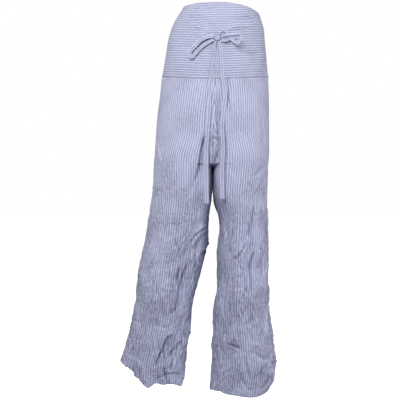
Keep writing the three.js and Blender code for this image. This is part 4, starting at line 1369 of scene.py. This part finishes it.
def stitch_rows(name, rows, material):
    """Rows of stitches on the cloth as one mesh: each stitch is a short six-sided bead along
    its row, half sunk in the cloth. A row is its places and the directions out of the cloth."""
    pitch, long, wide = STITCH["pitch"], STITCH["long"], STITCH["wide"]
    sides = STITCH["sides"]
    angle = np.arange(sides) * 2 * math.pi / sides
    beads = []
    for places, outs in rows:
        reached = lengths_along(places)
        centres = np.arange(pitch / 2, reached[-1] - pitch / 2, pitch)

        def at(distance, values):
            return np.stack([np.interp(distance, reached, column) for column in values.T], -1)

        ends = [at(centres + off, places) for off in (-long / 2, -long / 5, long / 5, long / 2)]
        out = at(centres, outs)
        side = np.cross(unit(ends[-1] - ends[0]), out)
        beads.append(np.stack([
            place[:, None, :] + wide * size * (
                np.cos(angle)[None, :, None] * side[:, None, :]
                + np.sin(angle)[None, :, None] * out[:, None, :]
            )
            for place, size in zip(ends, (STITCH["tapered"], 1, 1, STITCH["tapered"]))
        ], axis=1))
    beads = np.concatenate(beads)
    index = np.arange(len(beads) * 4 * sides).reshape(-1, 4, sides)
    nxt = np.roll(index, -1, axis=2)
    quads = np.stack([index[:, :-1], index[:, 1:], nxt[:, 1:], nxt[:, :-1]], -1).reshape(-1, 4)
    caps = np.stack([index[:, 0], index[:, -1, ::-1]], axis=1).reshape(-1, sides)
    return make_object(name, beads, quads.tolist() + caps.tolist(), material)


def row_along(points, normals, distance, wanted):
    """The places on a grid at a wanted distance, one for each column, with their normals.
    distance falls or rises down each column, and places between rows are interpolated."""
    below = np.abs(distance - wanted).argmin(axis=0)
    below = np.clip(below, 0, len(distance) - 2)
    column = np.arange(points.shape[1])
    first, second = distance[below, column], distance[below + 1, column]
    s = np.clip((wanted - first) / (second - first), 0, 1)[:, None]
    place = mix(points[below, column], points[below + 1, column], s)
    return place, normals[below, column]


def crotch_pull(points):
    """How far the stripes lean across in front of the crotch, where the cloth is pulled: more
    with each step up at its foot, and to and fro in a wave above."""
    x, z = points[..., 0], points[..., 2]
    low = ridge_at(x, *PULL_LOW["across"]) * ridge_at(z, PULL_LOW["level"], PULL_LOW["high"])
    high = ridge_at(x, *PULL_HIGH["across"]) * ridge_at(z, *PULL_HIGH["down"])
    swayed = high * PULL_HIGH["sway"] * np.sin(z / PULL_HIGH["turn"])
    return low * (z - PULL_LOW["level"]) * PULL_LOW["lean"] + swayed


BUILT = {}


class PANTS_OT_waistband(bpy.types.Operator):
    """Make the two halves of the deep waistband, with stripes that run round"""

    bl_idname = "pants.waistband"
    bl_label = "Waistband"

    def execute(self, context):
        settings = context.scene.pants_cloth
        # The band's cotton is darkened by its tone: painted shade.
        material = cotton("Band cotton with painted shade", settings, CRUMPLE["band"], BAND_PAINTED_SHADE)
        for face in ("front", "back"):
            panel = band_panel(face)
            points = dress_band(panel, face, settings.crinkle)
            cut = np.stack([panel["up"], panel["across"]], axis=-1)
            piece = cloth_object(
                f"cloth_waistband_{face}", points, panel["turn"], cut, material,
                settings.thickness,
            )
            hand_over(piece, f"waistband_{face}")
            BUILT[piece.name] = dict(panel, points=points)
        return {"FINISHED"}


class PANTS_OT_legs(bpy.types.Operator):
    """Make the front and back panels of both legs, with stripes that run lengthwise"""

    bl_idname = "pants.legs"
    bl_label = "Legs"

    def execute(self, context):
        settings = context.scene.pants_cloth
        material = cotton("Leg cotton", settings, CRUMPLE["legs"])
        for side in (1, -1):
            for face in ("front", "back"):
                panel = leg_panel(side, face)
                points = dress_leg(panel, side, face, settings.crinkle)
                signed = panel["across"] * (1 if face == "front" else -1)
                pulled = crotch_pull(panel["points"]) * (face == "front")
                cut = np.stack([signed + pulled, panel["down"]], axis=-1)
                node = f"{side_name(side)}_leg_{face}"
                piece = cloth_object(
                    f"cloth_{node}", points, panel["turn"], cut, material, settings.thickness
                )
                hand_over(piece, node)
                BUILT[piece.name] = dict(panel, points=points)
        return {"FINISHED"}


class PANTS_OT_tie(bpy.types.Operator):
    """Make the tie: the strip inside the band, the bow with its knot, and two hanging ends"""

    bl_idname = "pants.tie"
    bl_label = "Tie"

    def execute(self, context):
        settings = context.scene.pants_cloth
        # The tie's cotton is darkened by its tone: painted shade.
        material = cotton("Tie cotton with painted shade", settings, CRUMPLE["tie"], TIE_PAINTED_SHADE)
        cloth = np.concatenate([
            BUILT[name]["points"].reshape(-1, 3)
            for name in ("cloth_waistband_front", "cloth_left_leg_front", "cloth_right_leg_front")
        ])
        for side in ("left", "right"):
            line, across, width = end_line(END_ROUTES[side], TIE_STARTS[side], cloth)
            self.finish(f"tie_end_{side}", line, across, width, material)
            line, across = loop_line(LOOP_ROUTES[side], LOOP_STEPS, LOOP_TILTS[side])
            self.finish(f"bow_loop_{side}", line, across, TIE["narrow"], material)
        line, across = loop_line(KNOT_FOLD_ROUTE, KNOT_FOLD_STEPS, KNOT_FOLD_TILT)
        self.finish("bow_knot_fold", line, across, KNOT_FOLD_WIDTH, material)
        line, across = ring_line()
        self.finish("tie_round_waist", line, across, TIE["narrow"], material)
        self.knot(material)
        return {"FINISHED"}

    def finish(self, node, line, across, width, material):
        piece = strip_object(f"cloth_{node}", line, across, width, material)
        hand_over(piece, node)

    def knot(self, material):
        points = knot_points()
        rows, columns = points.shape[:2]
        index = np.arange(rows * columns).reshape(rows, columns)
        index[0], index[-1] = index[0, 0], index[-1, 0]
        faces = [list(dict.fromkeys(face)) for face in tube_faces(index)]
        cut = np.stack([leaning(points), points[..., 2] - points[..., 0]], axis=-1)
        piece = make_object("cloth_bow_knot", points, faces, material, cut)
        hand_over(piece, "bow_knot")


class PANTS_OT_stitching(bpy.types.Operator):
    """Sew the rows of stitches along the band and the hems"""

    bl_idname = "pants.stitching"
    bl_label = "Stitching"

    def execute(self, context):
        material = thread(context.scene.pants_cloth)
        rows = []
        for face in ("front", "back"):
            built = BUILT[f"cloth_waistband_{face}"]
            normals = surface_normals(built["points"], built["turn"])
            for wanted in BAND_EDGE["rows"]:
                rows.append(row_along(built["points"], normals, built["up"], wanted))
            rows.append(row_along(built["points"], normals, built["from_top"], TOP_TURN["row"]))
        piece = stitch_rows("band_stitches", rows, material)
        hand_over(piece, None)
        rows = []
        for side in ("left", "right"):
            for face in ("front", "back"):
                built = BUILT[f"cloth_{side}_leg_{face}"]
                normals = surface_normals(built["points"], built["turn"])
                rows.append(
                    row_along(built["points"], normals, built["from_hem"], HEM_SEWN["row"])
                )
        piece = stitch_rows("hem_stitches", rows, material)
        hand_over(piece, None)
        return {"FINISHED"}


class PANTS_OT_stage(bpy.types.Operator):
    """Set the floor, the soft lights and the camera"""

    bl_idname = "pants.stage"
    bl_label = "Stage"

    def execute(self, context):
        settings = context.scene.pants_stage
        self.camera(context)
        self.floor(settings)
        self.lights(context, settings)
        return {"FINISHED"}

    def camera(self, context):
        data = bpy.data.cameras.new("Camera")
        data.sensor_width = SENSOR
        data.lens = data.sensor_width / 2 * -CAMERA_PLACE[1] / SEEN_HALF
        camera = bpy.data.objects.new("Camera", data)
        camera.location = CAMERA_PLACE
        camera.rotation_euler = (math.pi / 2, 0, 0)
        context.scene.collection.objects.link(camera)
        context.scene.camera = camera

    def floor(self, settings):
        corners = np.array([[-1, -1], [1, -1], [1, 1], [-1, 1]]) * FLOOR_HALF
        points = np.column_stack([corners, np.full(4, settings.floor_level)])
        material, w, shader = start_material("Floor")
        shader.inputs["Base Color"].default_value = FLOOR_COLOUR
        shader.inputs["Roughness"].default_value = 0.9
        shader.inputs["Emission Color"].default_value = (1, 1, 1, 1)
        seen = w.node("ShaderNodeLightPath").outputs["Is Camera Ray"]
        w.join(w.ramp(seen, 0.0, 1.0, 0.0, 1.0), shader.inputs["Emission Strength"])
        make_object("floor", points, [[0, 1, 2, 3]], material)

    def lights(self, context, settings):
        for name, (place, aim, size, power, share) in LIGHTS.items():
            data = bpy.data.lights.new(name, "AREA")
            data.shape = "RECTANGLE"
            data.size, data.size_y = size
            data.energy = getattr(settings, power) * share
            lamp = bpy.data.objects.new(name, data)
            lamp.location = place
            lamp.rotation_euler = (Vector(aim) - Vector(place)).to_track_quat("-Z", "Y").to_euler()
            context.scene.collection.objects.link(lamp)
        world = bpy.data.worlds.new("World")
        world.use_nodes = True
        context.scene.world = world
        w = Wiring(world.node_tree)
        around = world.node_tree.nodes["Background"]
        around.inputs["Color"].default_value = (1, 1, 1, 1)
        seen = w.node("ShaderNodeLightPath").outputs["Is Camera Ray"]
        w.join(w.ramp(seen, 0.0, 1.0, settings.sky, 1.0), around.inputs["Strength"])
        context.scene.view_settings.view_transform = "Standard"


class PANTS_PT_panel(bpy.types.Panel):
    """Lists the pieces of the pants and their settings"""

    bl_label = "Wrap Pants"
    bl_idname = "PANTS_PT_panel"
    bl_space_type = "VIEW_3D"
    bl_region_type = "UI"
    bl_category = "Wrap Pants"

    def draw(self, context):
        for group in (context.scene.pants_cloth, context.scene.pants_stage):
            box = self.layout.box()
            for name in group.bl_rna.properties.keys():
                if name not in ("rna_type", "name"):
                    box.prop(group, name)
        for operator in OPERATORS:
            self.layout.operator(operator.bl_idname)


OPERATORS = (
    PANTS_OT_stage, PANTS_OT_waistband, PANTS_OT_legs, PANTS_OT_tie, PANTS_OT_stitching,
)
CLASSES = (ClothSettings, StageSettings, *OPERATORS, PANTS_PT_panel)


def register():
    for cls in CLASSES:
        bpy.utils.register_class(cls)
    bpy.types.Scene.pants_cloth = bpy.props.PointerProperty(type=ClothSettings)
    bpy.types.Scene.pants_stage = bpy.props.PointerProperty(type=StageSettings)


def unregister():
    del bpy.types.Scene.pants_stage
    del bpy.types.Scene.pants_cloth
    for cls in reversed(CLASSES):
        bpy.utils.unregister_class(cls)


def main():
    register()
    bpy.ops.pants.stage()
    bpy.ops.pants.waistband()
    bpy.ops.pants.legs()
    bpy.ops.pants.tie()
    bpy.ops.pants.stitching()


if __name__ == "__main__":
    main()
